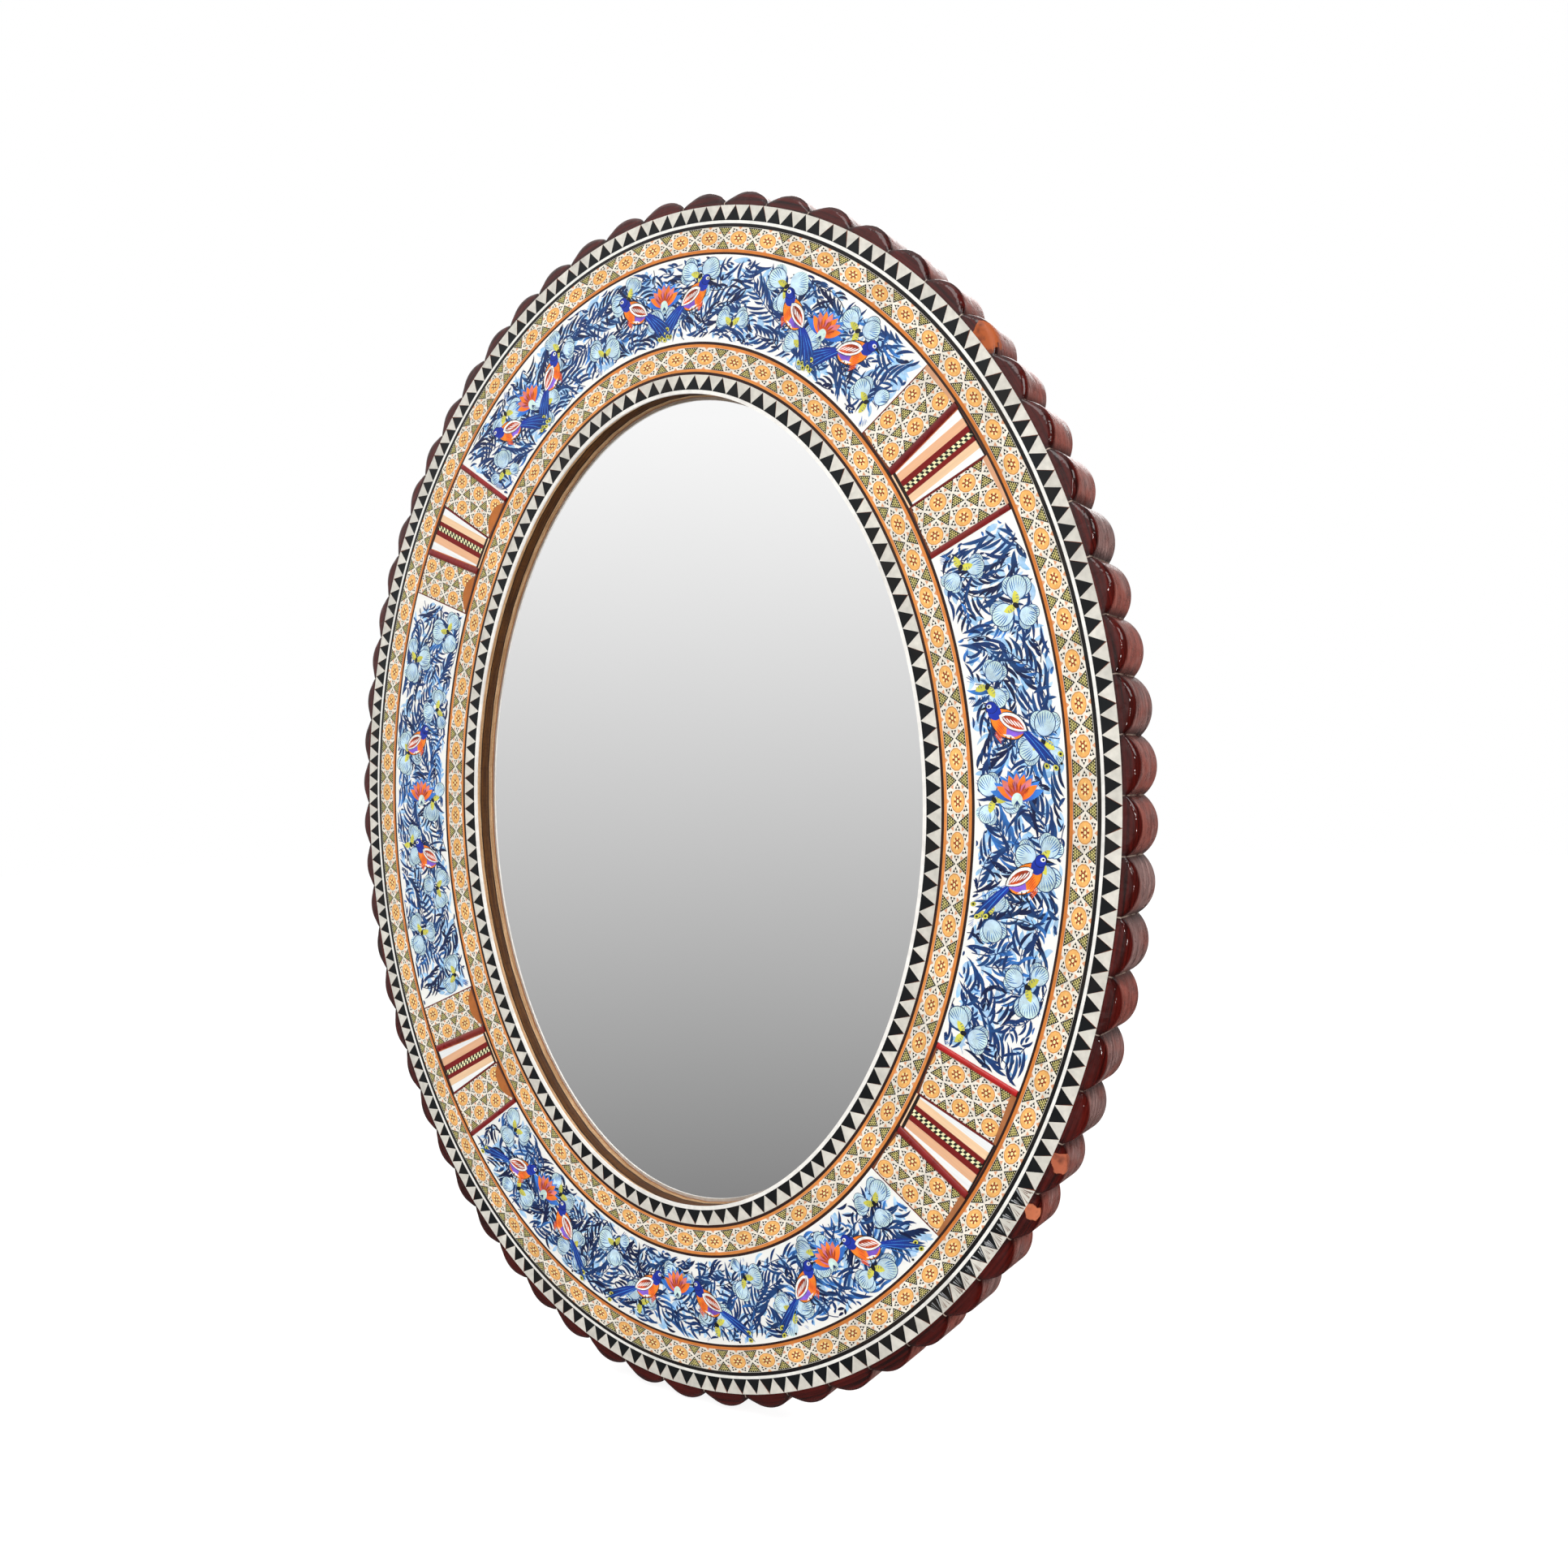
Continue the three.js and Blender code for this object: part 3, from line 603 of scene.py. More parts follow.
ring_turns = np.arange(RING_STEPS) / RING_STEPS
dice = random.Random(11)
EBONY = shade("0b0e11")
BONE = shade("d2cec4")
for name, count, (outer, inner), rows in (
    ("outer_triangle_band", OUTER_TRIANGLES, OUTER_TRIANGLE_EDGES, 13),
    ("inner_triangle_band", INNER_TRIANGLES, INNER_TRIANGLE_EDGES, 11),
):
    middle = (outer + inner) / 2
    feet = [float(turn_at((i + dice.uniform(-0.04, 0.04)) / count, middle)) for i in range(count)]
    tops = [float(turn_at((i + 0.5 + dice.uniform(-0.07, 0.07)) / count, middle)) for i in range(count)]
    shapes, colours, cracks, crack_colours = [], [], [], []
    for i in range(count):
        foot, next_foot = feet[i], feet[(i + 1) % count] + (i + 1) // count
        top, next_top = tops[i], tops[(i + 1) % count] + (i + 1) // count
        apex = outer - dice.uniform(0, 2.2) * CUTTING_ERROR
        tip = oval(np.array(top), apex)
        glue = [max(0.0, dice.uniform(-0.3, 0.28)) * MM / PERIMETER for side in (0, 1)]
        shapes.append([oval(foot, inner), tip, oval(next_foot, inner)])
        colours.append(varied(EBONY, dice, 0.35))
        bone = [oval(next_foot + glue[0] * 0.5, inner), oval(top + glue[0], apex), oval(top + glue[0], outer)]
        shapes.append(bone + [oval(next_top - glue[1], outer)])
        colours.append(varied(BONE, dice, 0.09))
        worn = outer == OUTER_TRIANGLE_EDGES[0] and CRAZED[0] < top < CRAZED[1]
        for crack in range(5 if worn else 0):
            for corner, next_corner, tone in ((foot, next_foot, "a4a6a8"), (top, next_top, "8e7c70")):
                edge = inner if tone == "a4a6a8" else outer
                aim = np.array(tip) if edge == inner else oval(next_foot, inner)
                base = corner + (next_corner - corner) * dice.uniform(0.12, 0.88)
                start = oval(base, edge + (outer + inner - 2 * edge) * dice.uniform(0.02, 0.3))
                end = start + (aim - start) * dice.uniform(0.4, 0.85)
                across = np.array([start[1] - end[1], end[0] - start[0]]) * dice.uniform(0.03, 0.09)
                cracks.append([start - across, start + across, end])
                crack_colours.append(varied(shade(tone), dice, 0.35))
    bed = around(ring_turns, outer, inner, FACE + BED_DROP, INLAY_BACK)
    shapes, colours, slot = shapes + cracks, colours + crack_colours, "triangle_inlay"
    made = mosaic(name + "_slips", bed, True, shapes, colours, [name], cracks=len(cracks))
    unroll(made, outer, inner, rows)

# Thin strips are bent round between the bands: bone and ebony outside, orange wood and dark wood beside the
# star bands, and a bone edge round the opening. Each is glued up from a few lengths.

# Each row holds a name, the outer and inner edge in millimetres, the colour, the slot and the coat.
LINES = [
    ("white_line", 0.0, -1.2, "eceae4", "bone", 0.1),
    ("outer_black_line", -1.2, -2.6, "100c0e", "ebony", 0.1),
    ("outer_orange_line", -11.3, -12.5, "d07a35", "orange_wood", 0.05),
    ("outer_dark_line", -12.5, -13.4, "2c1512", "dark_wood", 0.05),
    ("middle_dark_line", -48.0, -49.1, "2c1512", "dark_wood", 0.05),
    ("middle_orange_line", -49.1, -50.3, "d8843e", "orange_wood", 0.05),
    ("inner_orange_line", -59.0, -60.1, "dc8a44", "orange_wood", 0.05),
    ("inner_dark_line", -60.1, -61.2, "2a1412", "dark_wood", 0.05),
    ("bone_edge", -67.3, -68.8, "efece6", "bone", 0.1),
]
LINE_ROWS = 20
for name, outer, inner, colour, slot, coat in LINES:
    finish = inlay_finish(name, shade(colour), 0.1, 0.2, 0.4, coat)
    outer, inner = outer * MM, inner * MM
    points, faces = swept(around(ring_turns, outer, inner, FACE, INLAY_BACK), True)
    strip = piece(name + "_strip", points, faces, [finish], instead_of=[name])
    soften(strip, 30)
    unroll(strip, outer, inner, LINE_ROWS)

# The star bands are slices of a rod glued up from bone, wood and dyed slips: a row of hexagons, each round a
# red star, with dotted triangles between them. The slips of a hexagon are given at a radius of 1.

# A hexagon of radius 1 is twice this high.
HALF_ROOT = 0.866
OUTER_STARS = 87
INNER_STARS = 65
OUTER_FIRST_STAR = 0.15
INNER_FIRST_STAR = 0.9
OUTER_STAR_EDGES = (-2.6 * MM, -11.3 * MM)
INNER_STAR_EDGES = (-50.3 * MM, -59.0 * MM)
STAR_ROWS = 11
SLIP_COLOURS = {
    "bone": shade("e9e2d4"),
    "ebony": shade("120f0c"),
    "orange": shade("edb266"),
    "amber": shade("d08a44"),
    "pink": shade("d89a70"),
    "red": shade("8a1409"),
    "lime": shade("cfc478"),
    "cream": shade("f2e7a4"),
}


def cut(shape, start, end):
    """The parts of a convex shape to the left and to the right of a line."""
    sides = [(end[0] - start[0]) * (p[1] - start[1]) - (end[1] - start[1]) * (p[0] - start[0]) for p in shape]
    left, right = [], []
    for i, point in enumerate(shape):
        here, there, following = sides[i], sides[(i + 1) % len(shape)], shape[(i + 1) % len(shape)]
        if here >= 0:
            left.append(point)
        if here <= 0:
            right.append(point)
        if here * there < 0:
            share = here / (here - there)
            middle = tuple(a + share * (b - a) for a, b in zip(point, following))
            left.append(middle)
            right.append(middle)
    return left, right


def area(shape):
    """The area of a flat shape, above 0 where its corners run counter-clockwise."""
    return 0.5 * sum(p[0] * q[1] - p[1] * q[0] for p, q in zip(shape, shape[1:] + shape[:1]))


def facing(shape):
    """The shape as a list of pairs that runs counter-clockwise."""
    pairs = [(float(x), float(y)) for x, y in shape]
    return pairs if area(pairs) > 0 else pairs[::-1]


def inlaid(ground, shapes):
    """Cuts the shapes, each convex and with a colour's name, into a ground of such shapes."""
    pieces = [(facing(shape), colour) for shape, colour in ground]
    smallest = 1e-5 * max(area(shape) for shape, _ in pieces)
    for slip, colour in shapes:
        slip = facing(slip)
        low = [min(p[i] for p in slip) for i in (0, 1)]
        high = [max(p[i] for p in slip) for i in (0, 1)]
        after = []
        for shape, old in pieces:
            apart = any(
                max(p[i] for p in shape) <= low[i] or min(p[i] for p in shape) >= high[i] for i in (0, 1)
            )
            inside = [] if apart else shape
            offcuts = []
            for i, start in enumerate(slip):
                if len(inside) < 3:
                    break
                inside, outside = cut(inside, start, slip[(i + 1) % len(slip)])
                if len(outside) > 2 and area(outside) > smallest:
                    offcuts.append((outside, old))
            if len(inside) > 2 and area(inside) > smallest:
                after += offcuts + [(inside, colour)]
            else:
                after.append((shape, old))
        pieces = after
    return pieces


def polar(radius, degrees, centre=(0.0, 0.0)):
    """The point at that distance and in that direction from the centre."""
    angle = math.radians(degrees)
    return centre[0] + radius * math.cos(angle), centre[1] + radius * math.sin(angle)


def rounded(radius, corners, first=0.0, centre=(0.0, 0.0)):
    """A regular shape with its first corner in that direction."""
    return [polar(radius, first + 360 * i / corners, centre) for i in range(corners)]


def star_slips():
    """The slips of one hexagon of radius 1 with a corner to the right, from the largest to the smallest."""
    made = [(rounded(1.0, 6), "bone")]
    for k in range(6):
        corner, side = 60 * k, 60 * k + 30
        for centre in (polar(0.79, corner), polar(0.66, corner - 10), polar(0.66, corner + 10)):
            made.append((rounded(0.1, 3, corner, centre), "ebony"))
        foot = polar(HALF_ROOT, side)
        made.append(([polar(0.13, side - 90, foot), polar(0.13, side + 90, foot), polar(0.66, side)], "pink"))
    made.append((rounded(0.56, 12, 15), "amber"))
    made.append((rounded(0.51, 12, 15), "orange"))
    for k in range(6):
        corner, side = 60 * k, 60 * k + 30
        petal = [polar(0.15, corner), polar(0.25, corner - 17), polar(0.33, corner), polar(0.25, corner + 17)]
        made.append((petal, "cream"))
        made.append(([polar(0.16, side - 40), polar(0.25, side - 13), polar(0.31, side)], "red"))
        made.append(([polar(0.31, side), polar(0.25, side + 13), polar(0.16, side + 40)], "red"))
        point = [polar(0.1, side), polar(0.25, side - 13), polar(0.31, side), polar(0.25, side + 13)]
        made.append((point, "red"))
    made.append((rounded(0.17, 6), "red"))
    made.append((rounded(0.1, 6), "cream"))
    return made


def dotted_slips(way):
    """The slips of the triangle between two hexagons that meet at (0, 0), above for way 1, below for -1."""
    rows, border = 6, 0.07
    side = (1 - 1.5 * border * 1.155) / rows
    foot = border * 1.1 + rows * side * HALF_ROOT
    core_foot = foot - 0.55 * side
    core = [(0.0, border * 1.1 + 0.9 * side), (2.6 * side, core_foot), (-2.6 * side, core_foot)]
    made = [(core, "lime")]
    for row in range(rows):
        for place in range(row + 1):
            edge = place in (0, row) or row == rows - 1
            x, y = (place - row / 2) * side, border * 1.1 + row * side * HALF_ROOT
            wide, tip, low = (0.68, -0.1, 0.9) if edge else (0.52, 0.12, 0.8)
            dot = [(x, y + tip * side), (x + wide * side, y + side * low), (x - wide * side, y + side * low)]
            made.append((dot, "ebony"))
    return [([(x, way * y) for x, y in shape[::way]], colour) for shape, colour in made]


def half_gap(way):
    """The ground between two hexagons that meet at (0, 0), above them for way 1 and below them for way -1."""
    return [(0.0, 0.0), (0.5, way * HALF_ROOT), (-0.5, way * HALF_ROOT)]


CELL = inlaid([(rounded(1.0, 6), "bone")], star_slips())
for way in (1, -1):
    gap = inlaid([(half_gap(way), "bone")], dotted_slips(way))
    CELL += [([(x + 1.0, y) for x, y in shape], colour) for shape, colour in gap]
for name, count, first, (outer, inner), seed in (
    ("outer_star_band", OUTER_STARS, OUTER_FIRST_STAR, OUTER_STAR_EDGES, 21),
    ("inner_star_band", INNER_STARS, INNER_FIRST_STAR, INNER_STAR_EDGES, 22),
):
    dice = random.Random(seed)
    shapes, colours = [], []
    middle, half_height = (outer + inner) / 2, (outer - inner) / 2
    for star in range(count):
        age = dice.uniform(0.93, 1.05)
        for shape, colour in CELL:
            flat = np.array(shape)
            turn = turn_at((star + first + flat[:, 0] / 2) / count, middle)
            shapes.append(oval(turn, middle + flat[:, 1] / HALF_ROOT * half_height))
            colours.append(varied([c * age for c in SLIP_COLOURS[colour][:3]], dice, 0.07))
    bed = around(ring_turns, outer, inner, FACE + BED_DROP, INLAY_BACK)
    made = mosaic(name + "_mosaic", bed, True, shapes, colours, [name])
    unroll(made, outer, inner, STAR_ROWS)

# Four dividers part the painted panels. Each is a fan of tapered slips with a block of star inlay on both
# sides, and a raised red bead beside each block. All are cut to fit and glued down.

# A block is filled up with plain wood: at its outer end, as deep as "filler" says at its two sides, and in
# the left dividers also at its inner end, by a lens as deep as given. Depths are in millimetres.
DIVIDERS = [
    {"name": "upper_right", "turn": 0.1067, "way": 1, "filler": (1.0, 1.8), "filler_tone": "d6a07a"},
    {"name": "upper_left", "turn": 0.3917, "way": 1, "filler": (0.1, 0.1), "filler_tone": "b0662e"},
    {"name": "lower_left", "turn": 0.6067, "way": -1, "filler": (0.1, 0.1), "filler_tone": "b0662e"},
    {"name": "lower_right", "turn": 0.8910, "way": -1, "filler": (2.2, 1.2), "filler_tone": "a8683c"},
]
LENSES = {"upper_left": 5.2, "lower_left": 5.2}
LENS_STEPS = 14
LENS_FULLNESS = 0.75
BEAD_COLOURS = {
    "upper_right": ("7c1012", "6e0e10"),
    "upper_left": ("84100f", "7c1012"),
    "lower_left": ("7c1012", "84100f"),
    "lower_right": ("b01010", "7a0e0e"),
}

# The edges between bead, block, fan, block and bead, in millimetres along the oval from the divider's middle,
# at its outer end and at its inner end. The fan's slips are given with their widths at both ends.
OUTER_END = (-33.4, -30.8, -9.8, 12.9, 16.0, 36.0)
INNER_END = (-35.6, -32.6, -9.0, 9.3, 13.2, 36.8)
FIELD_TOP = -13.4 * MM
FIELD_FOOT = -48.0 * MM
BLOCK_HEXAGON = 6.4 * MM
BLOCK_SQUEEZE = 0.93
FAN_SLIPS = [
    ("thin_red", 0.5, 0.4),
    ("white", 3.6, 0.6),
    ("tan", 3.5, 3.0),
    ("dark_red", 2.1, 1.9),
    ("checker", 2.5, 2.4),
    ("dark_red", 2.6, 2.3),
    ("salmon", 3.9, 3.3),
    ("white", 4.0, 0.6),
    ("thin_orange", 0.4, 0.4),
]
FAN_COLOURS = {
    "thin_red": shade("6a1410"),
    "thin_orange": shade("c8703a"),
    "white": shade("f2f3f2"),
    "tan": shade("f2cda4"),
    "salmon": shade("eab68e"),
    "dark_red": shade("7c1012"),
    "black": shade("1a1614"),
}
FAN_REACH = (0.022, 0.945)
FAN_END_BAND = 0.035
BED_STEPS = 9
CHECKER_ROWS = 28
BLOCK_LINE = 0.028
BEAD_HEIGHT = 0.8 * MM
BEAD_END_CLEARANCE = 0.3 * MM / (FIELD_TOP - FIELD_FOOT)
BEAD_STEPS = 40
BEAD_POINTS = 11
SLIP_COLOURS["thin_red"] = FAN_COLOURS["thin_red"]


def on_divider(place, outer_distance, inner_distance, depth_share):
    """A point between a divider's two ends, each given in mm along the oval from the divider's middle."""
    start, end = (
        oval(place["turn"] + place["way"] * distance * MM / PERIMETER, offset)
        for distance, offset in ((outer_distance, FIELD_TOP), (inner_distance, FIELD_FOOT))
    )
    return start + (end - start) * depth_share


def on_piece(place, k, across, down):
    """A point between the divider's edges k and k + 1."""
    outer = OUTER_END[k] + (OUTER_END[k + 1] - OUTER_END[k]) * across
    inner = INNER_END[k] + (INNER_END[k + 1] - INNER_END[k]) * across
    return on_divider(place, outer, inner, down)


def bed_of(place, k):
    """Sections of the bed between the divider's edges k and k + 1."""
    sections = []
    for across in np.linspace(0, 1, BED_STEPS):
        top, foot = on_piece(place, k, across, 0.0), on_piece(place, k, across, 1.0)
        flat = np.array([top, foot, foot, top])
        sections.append(at_depth(flat, np.array([FACE + BED_DROP] * 2 + [INLAY_BACK] * 2)))
    return np.array(sections)


def clipped(shape, region):
    """The part of a convex shape that lies in a convex region, both counter-clockwise."""
    for i, start in enumerate(region):
        if len(shape) > 2:
            shape = cut(shape, start, region[(i + 1) % len(region)])[0]
    return shape


def block_shapes(place, k):
    """The slips of a star block: rows of hexagons that run inwards, a thin line, and fillers at the ends."""
    middle = on_piece(place, k, 0.5, 0.5)
    out = on_piece(place, k, 0.5, 0.0) - middle
    out /= np.hypot(*out)
    side = np.array([-out[1], out[0]])
    length = (FIELD_TOP - FIELD_FOOT) / MM
    fill_first, fill_last = (depth / length for depth in place["filler"])
    line_from = 1 - BLOCK_LINE
    corners = ((0, fill_first), (line_from, fill_last), (line_from, 1), (0.5 * line_from, 0.992), (0, 1))
    region = facing([on_piece(place, k, *corner) for corner in corners])
    smallest = 1e-6 * area(region)
    height = BLOCK_HEXAGON * 2 * HALF_ROOT * BLOCK_SQUEEZE
    found = []
    for row in (-1, 0, 1, 2):
        for step in range(-3, 4):
            along, across = (step * 2 + row % 2) * BLOCK_HEXAGON, (row - 0.5) * height
            for shape, colour in CELL:
                flat = np.array(shape) * BLOCK_HEXAGON * (1, BLOCK_SQUEEZE) + (along, across)
                flat = facing(middle + flat[:, :1] * out + flat[:, 1:] * side)
                kept = clipped(flat, region)
                if len(kept) > 2 and area(kept) > smallest:
                    found.append((kept, colour))
    filler = ((0, 0), (0.33, 0), (0.67, 0), (1, 0), (line_from, fill_last), (0, fill_first))
    line = ((line_from, fill_last), (1, fill_last), (1, 1), (line_from, 1))
    if place["name"] in LENSES:
        deepest = LENSES[place["name"]] / length
        shares = [i / LENS_STEPS for i in range(LENS_STEPS + 1)]
        bulge = [(line_from * i, 1 - deepest * math.sin(math.pi * i) ** LENS_FULLNESS) for i in shares]
        lens = clipped(facing([on_piece(place, k, *corner) for corner in bulge]), region)
        found = [slip for slip in inlaid(found, [(lens, "filler")]) if slip[1] != "filler"]
        found.append((lens, "filler"))
    found.append(([on_piece(place, k, *corner) for corner in filler], "filler"))
    found.append(([on_piece(place, k, *corner) for corner in line], "thin_red"))
    return found


def fan_shapes(place, dice):
    """The slips of a fan, a checker slip among them, and the dark ends across it."""
    whole = [sum(slip[i] for slip in FAN_SLIPS) for i in (1, 2)]
    shapes, colours, passed = [], [], [0.0, 0.0]
    top, foot = FAN_REACH
    for kind, outer_width, inner_width in FAN_SLIPS:
        first = [passed[i] / whole[i] for i in (0, 1)]
        passed = [passed[0] + outer_width, passed[1] + inner_width]
        last = [passed[i] / whole[i] for i in (0, 1)]

        def spot(share, down):
            outer, inner = (first[i] + (last[i] - first[i]) * share for i in (0, 1))
            outer = OUTER_END[2] + (OUTER_END[3] - OUTER_END[2]) * outer
            inner = INNER_END[2] + (INNER_END[3] - INNER_END[2]) * inner
            return on_divider(place, outer, inner, down)

        if kind != "checker":
            shapes.append([spot(0, top), spot(1, top), spot(1, foot), spot(0, foot)])
            colours.append(varied(FAN_COLOURS[kind], dice, 0.05))
            continue
        for column in (0, 1):
            left, right = column / 2, (column + 1) / 2
            for row in range(-2, CHECKER_ROWS + 1):
                near, far = (
                    [min(foot, max(top, top + (foot - top) * (row + extra) / CHECKER_ROWS)) for extra in pair]
                    for pair in ((left, right), (1 + left, 1 + right))
                )
                if far[0] <= near[0] and far[1] <= near[1]:
                    continue
                corners = ((left, near[0]), (right, near[1]), (right, far[1]), (left, far[0]))
                shapes.append([spot(*corner) for corner in corners])
                tone = "eeeab8" if (row + column) % 2 else "1c221c"
                colours.append(varied(shade(tone), dice, 0.15))
    band_foot = foot + FAN_END_BAND
    ends = ((0.0, top, "black"), (foot, band_foot, "black"), (band_foot, 1.0, "tan"))
    for first, last, colour in ends:
        corners = ((0, first), (1, first), (1, last), (0, last))
        shapes.append([on_piece(place, 2, *corner) for corner in corners])
        colours.append(FAN_COLOURS[colour])
    return shapes, colours


def lay_grain(made, along):
    """Gives a flat piece the UV map that its grain follows, in metres along one direction and across it."""
    flat = read(made.data.vertices, "co", 3)[:, [0, 2]]
    corners = read(made.data.loops, "vertex_index", kind=int)
    laid = np.stack([flat @ along, flat @ np.array([-along[1], along[0]])], -1)[corners]
    made.data.uv_layers.new(name="grain").data.foreach_set("uv", laid.ravel())


veneer, tree, shader = new_finish("fan_veneer", Roughness=0.45, Specular_IOR_Level=0.25)
own_colour = slip_colour(tree)
darker = blend(tree, 0.12, own_colour, shade("5a2408"))
along_slips = put(tree, "UVMap", {}, uv_map="grain").outputs[0]
look = grained(tree, along_slips, (45.0, 1100.0, 1.0), own_colour, darker, 0.6)
tree.links.new(look["Color"], shader.inputs["Base Color"])
emboss(tree, shader, look["Height"], 0.3, 0.05)

lacquer = {"Coat_Weight": 0.35, "Coat_Roughness": 0.06, "Specular_IOR_Level": 0.25}
red_bead, tree, shader = new_finish("red_bead", **lacquer)
own_colour = slip_colour(tree)
look = mottled(tree, own_colour, 160.0, 0.25, 0.45)
tree.links.new(look["Color"], shader.inputs["Base Color"])
tree.links.new(ramp(tree, look["Height"], 0.3, 0.7, 0.22, 0.4), shader.inputs["Roughness"])
emboss(tree, shader, look["Height"], 0.4, 0.2)

dice = random.Random(31)
for place in DIVIDERS:
    label = place["name"]
    SLIP_COLOURS["filler"] = shade(place["filler_tone"])
    for k, part in ((1, "star_block_a"), (4, "star_block_b")):
        found = block_shapes(place, k)
        shapes = [shape for shape, _ in found]
        colours = [varied(SLIP_COLOURS[colour], dice, 0.08) for _, colour in found]
        node = f"{label}_{part}"
        block = mosaic(node + "_mosaic", bed_of(place, k), False, shapes, colours, [node])
        unroll(block, FIELD_TOP, FIELD_FOOT, 1, place["turn"])
    shapes, colours = fan_shapes(place, dice)
    node = f"{label}_fan"
    fan = mosaic(node + "_slips", bed_of(place, 2), False, shapes, colours, [node], top=veneer)
    along = on_piece(place, 2, 0.5, 0.0) - on_piece(place, 2, 0.5, 1.0)
    lay_grain(fan, along / np.hypot(*along))
    unroll(fan, FIELD_TOP, FIELD_FOOT, 1, place["turn"])
    for k, part, colour in zip((0, 3), ("bead_a", "bead_b"), BEAD_COLOURS[label]):
        sections = []
        for down in np.linspace(BEAD_END_CLEARANCE, 1 - BEAD_END_CLEARANCE, BEAD_STEPS):
            near_end = min(1.0, min(down, 1 - down) * 30)
            rise = BEAD_HEIGHT * (0.55 + 0.45 * near_end) * dice.uniform(0.9, 1.0)
            flat, depths = [], []
            for across in np.linspace(0, 1, BEAD_POINTS):
                flat.append(on_piece(place, k, across, down))
                depths.append(FACE - rise * math.sin(math.pi * across) ** 0.7)
            flat += [flat[-1], flat[0]]
            sections.append(at_depth(np.array(flat), np.array(depths + [INLAY_BACK] * 2)))
        points, faces = swept(np.array(sections), False)
        node = f"{label}_{part}"
        bead = piece(node + "_rod", points, faces, [red_bead], instead_of=[node])
        soften(bead, 50)
        colour_faces(bead, 0, [shade(colour)] * len(bead.data.polygons))

# Four ivory-white panels between the dividers are painted by hand with sprays of blue leaves, pale blossoms,
# orange flowers and small birds, in thin strokes of a pointed brush, and then varnished.

# Each panel runs from the divider of its own number to the next one. It has a name, the degrees that its
# motifs are turned by, and a seed.
PANELS = [("top", 0, 51), ("left", 90, 52), ("bottom", 180, 53), ("right", -90, 54)]
PAINT = {
    "navy": shade("0a1740"),
    "deep": shade("113268"),
    "steel": shade("1c4c84"),
    "sky": shade("3c86da"),
    "pale_blue": shade("8abfe8"),
    "wash": shade("bcd6ee"),
    "mint": shade("cfe8e0"),
    "yellow": shade("cfca4c"),
    "cobalt": shade("1230a4"),
    "orange": shade("fa8420"),
    "ember": shade("ea5a1c"),
    "violet": shade("8a60d8"),
    "rust": shade("8a2a18"),
    "black": shade("12141c"),
    "white": shade("f6f6f2"),
}
PAINT_LIFT = 0.02 * MM
PAINT_STEP = 0.00004 * MM
PANEL_STEPS = 121
PANEL_ROWS = 3

# The sizes of the painting are in millimetres. A panel's reach is half its length, and the counts are those
# on a panel of the usual reach, or on each millimetre of reach.
HALF_PANEL = 17.3
SQUARE = 0.6
WAVE = 62.0
USUAL_REACH = 85
LONG_REACH = 110
WASHES_PER_MM = 5
LEAVES_PER_MM = 45
BLOSSOM_SPACING = 19
BLOSSOM_OFFSET = 8.4
BIRD_SIZE = 14.5
CARNATION_SIZE = 9.5

# Each pass of sprays has a number of tries, the length of a spray and the length of its longest leaf.
SPRAY_PASSES = [(350, 30, 9.6), (900, 20, 7.0), (1700, 13, 4.8), (1700, 9, 3.2)]
SPRAY_TONES = [["navy", "deep"], ["deep", "steel"], ["navy", "steel"], ["deep", "steel"], ["deep", "sky"]]

ivory, tree, shader = new_finish("painted_ivory", Coat_Weight=0.25, Coat_Roughness=0.12)
look = mottled(tree, shade("f4f3ee"), 120.0, 0.02, 0.04)
tree.links.new(look["Color"], shader.inputs["Base Color"])
tree.links.new(ramp(tree, look["Height"], 0.3, 0.7, 0.3, 0.45), shader.inputs["Roughness"])
paint = inlay_finish("brush_paint", None, 0.2, 0.0, 0.4, 0.25)


def leaf(x, y, degrees, length, width, bend, steps=6):
    """The outline of a brush stroke that swells and tapers, and turns by the bend over its length."""
    left, right = [], []
    for i in range(steps + 1):
        share = i / steps
        heading = math.radians(degrees + bend * share)
        half = 0.5 * width * math.sin(math.pi * (0.06 + 0.94 * share)) ** 0.8 if 0 < i < steps else 0.0
        left.append((x - half * math.sin(heading), y + half * math.cos(heading)))
        right.append((x + half * math.sin(heading), y - half * math.cos(heading)))
        x += length / steps * math.cos(heading)
        y += length / steps * math.sin(heading)
    return [left[0]] + left[1:-1] + [left[-1]] + right[1:-1][::-1]


def thread(points, width):
    """The outline of a thin line of even width through some points."""
    line = np.array(points, float)
    along = np.gradient(line, axis=0)
    along /= np.maximum(np.hypot(along[:, 0], along[:, 1]), 1e-9)[:, None]
    across = np.stack([-along[:, 1], along[:, 0]], 1) * width / 2
    return [tuple(p) for p in line + across] + [tuple(p) for p in (line - across)[::-1]]


def turned_by(angle, a, b, x, y):
    """The point (a, b) turned by the angle and moved by (x, y)."""
    return x + a * math.cos(angle) - b * math.sin(angle), y + a * math.sin(angle) + b * math.cos(angle)


def round_spot(x, y, long, short, degrees=0.0, corners=18):
    """The outline of an ellipse."""
    turned = math.radians(degrees)
    made = []
    for i in range(corners):
        angle = 2 * math.pi * i / corners
        a, b = long * math.cos(angle), short * math.sin(angle)
        made.append(turned_by(turned, a, b, x, y))
    return made


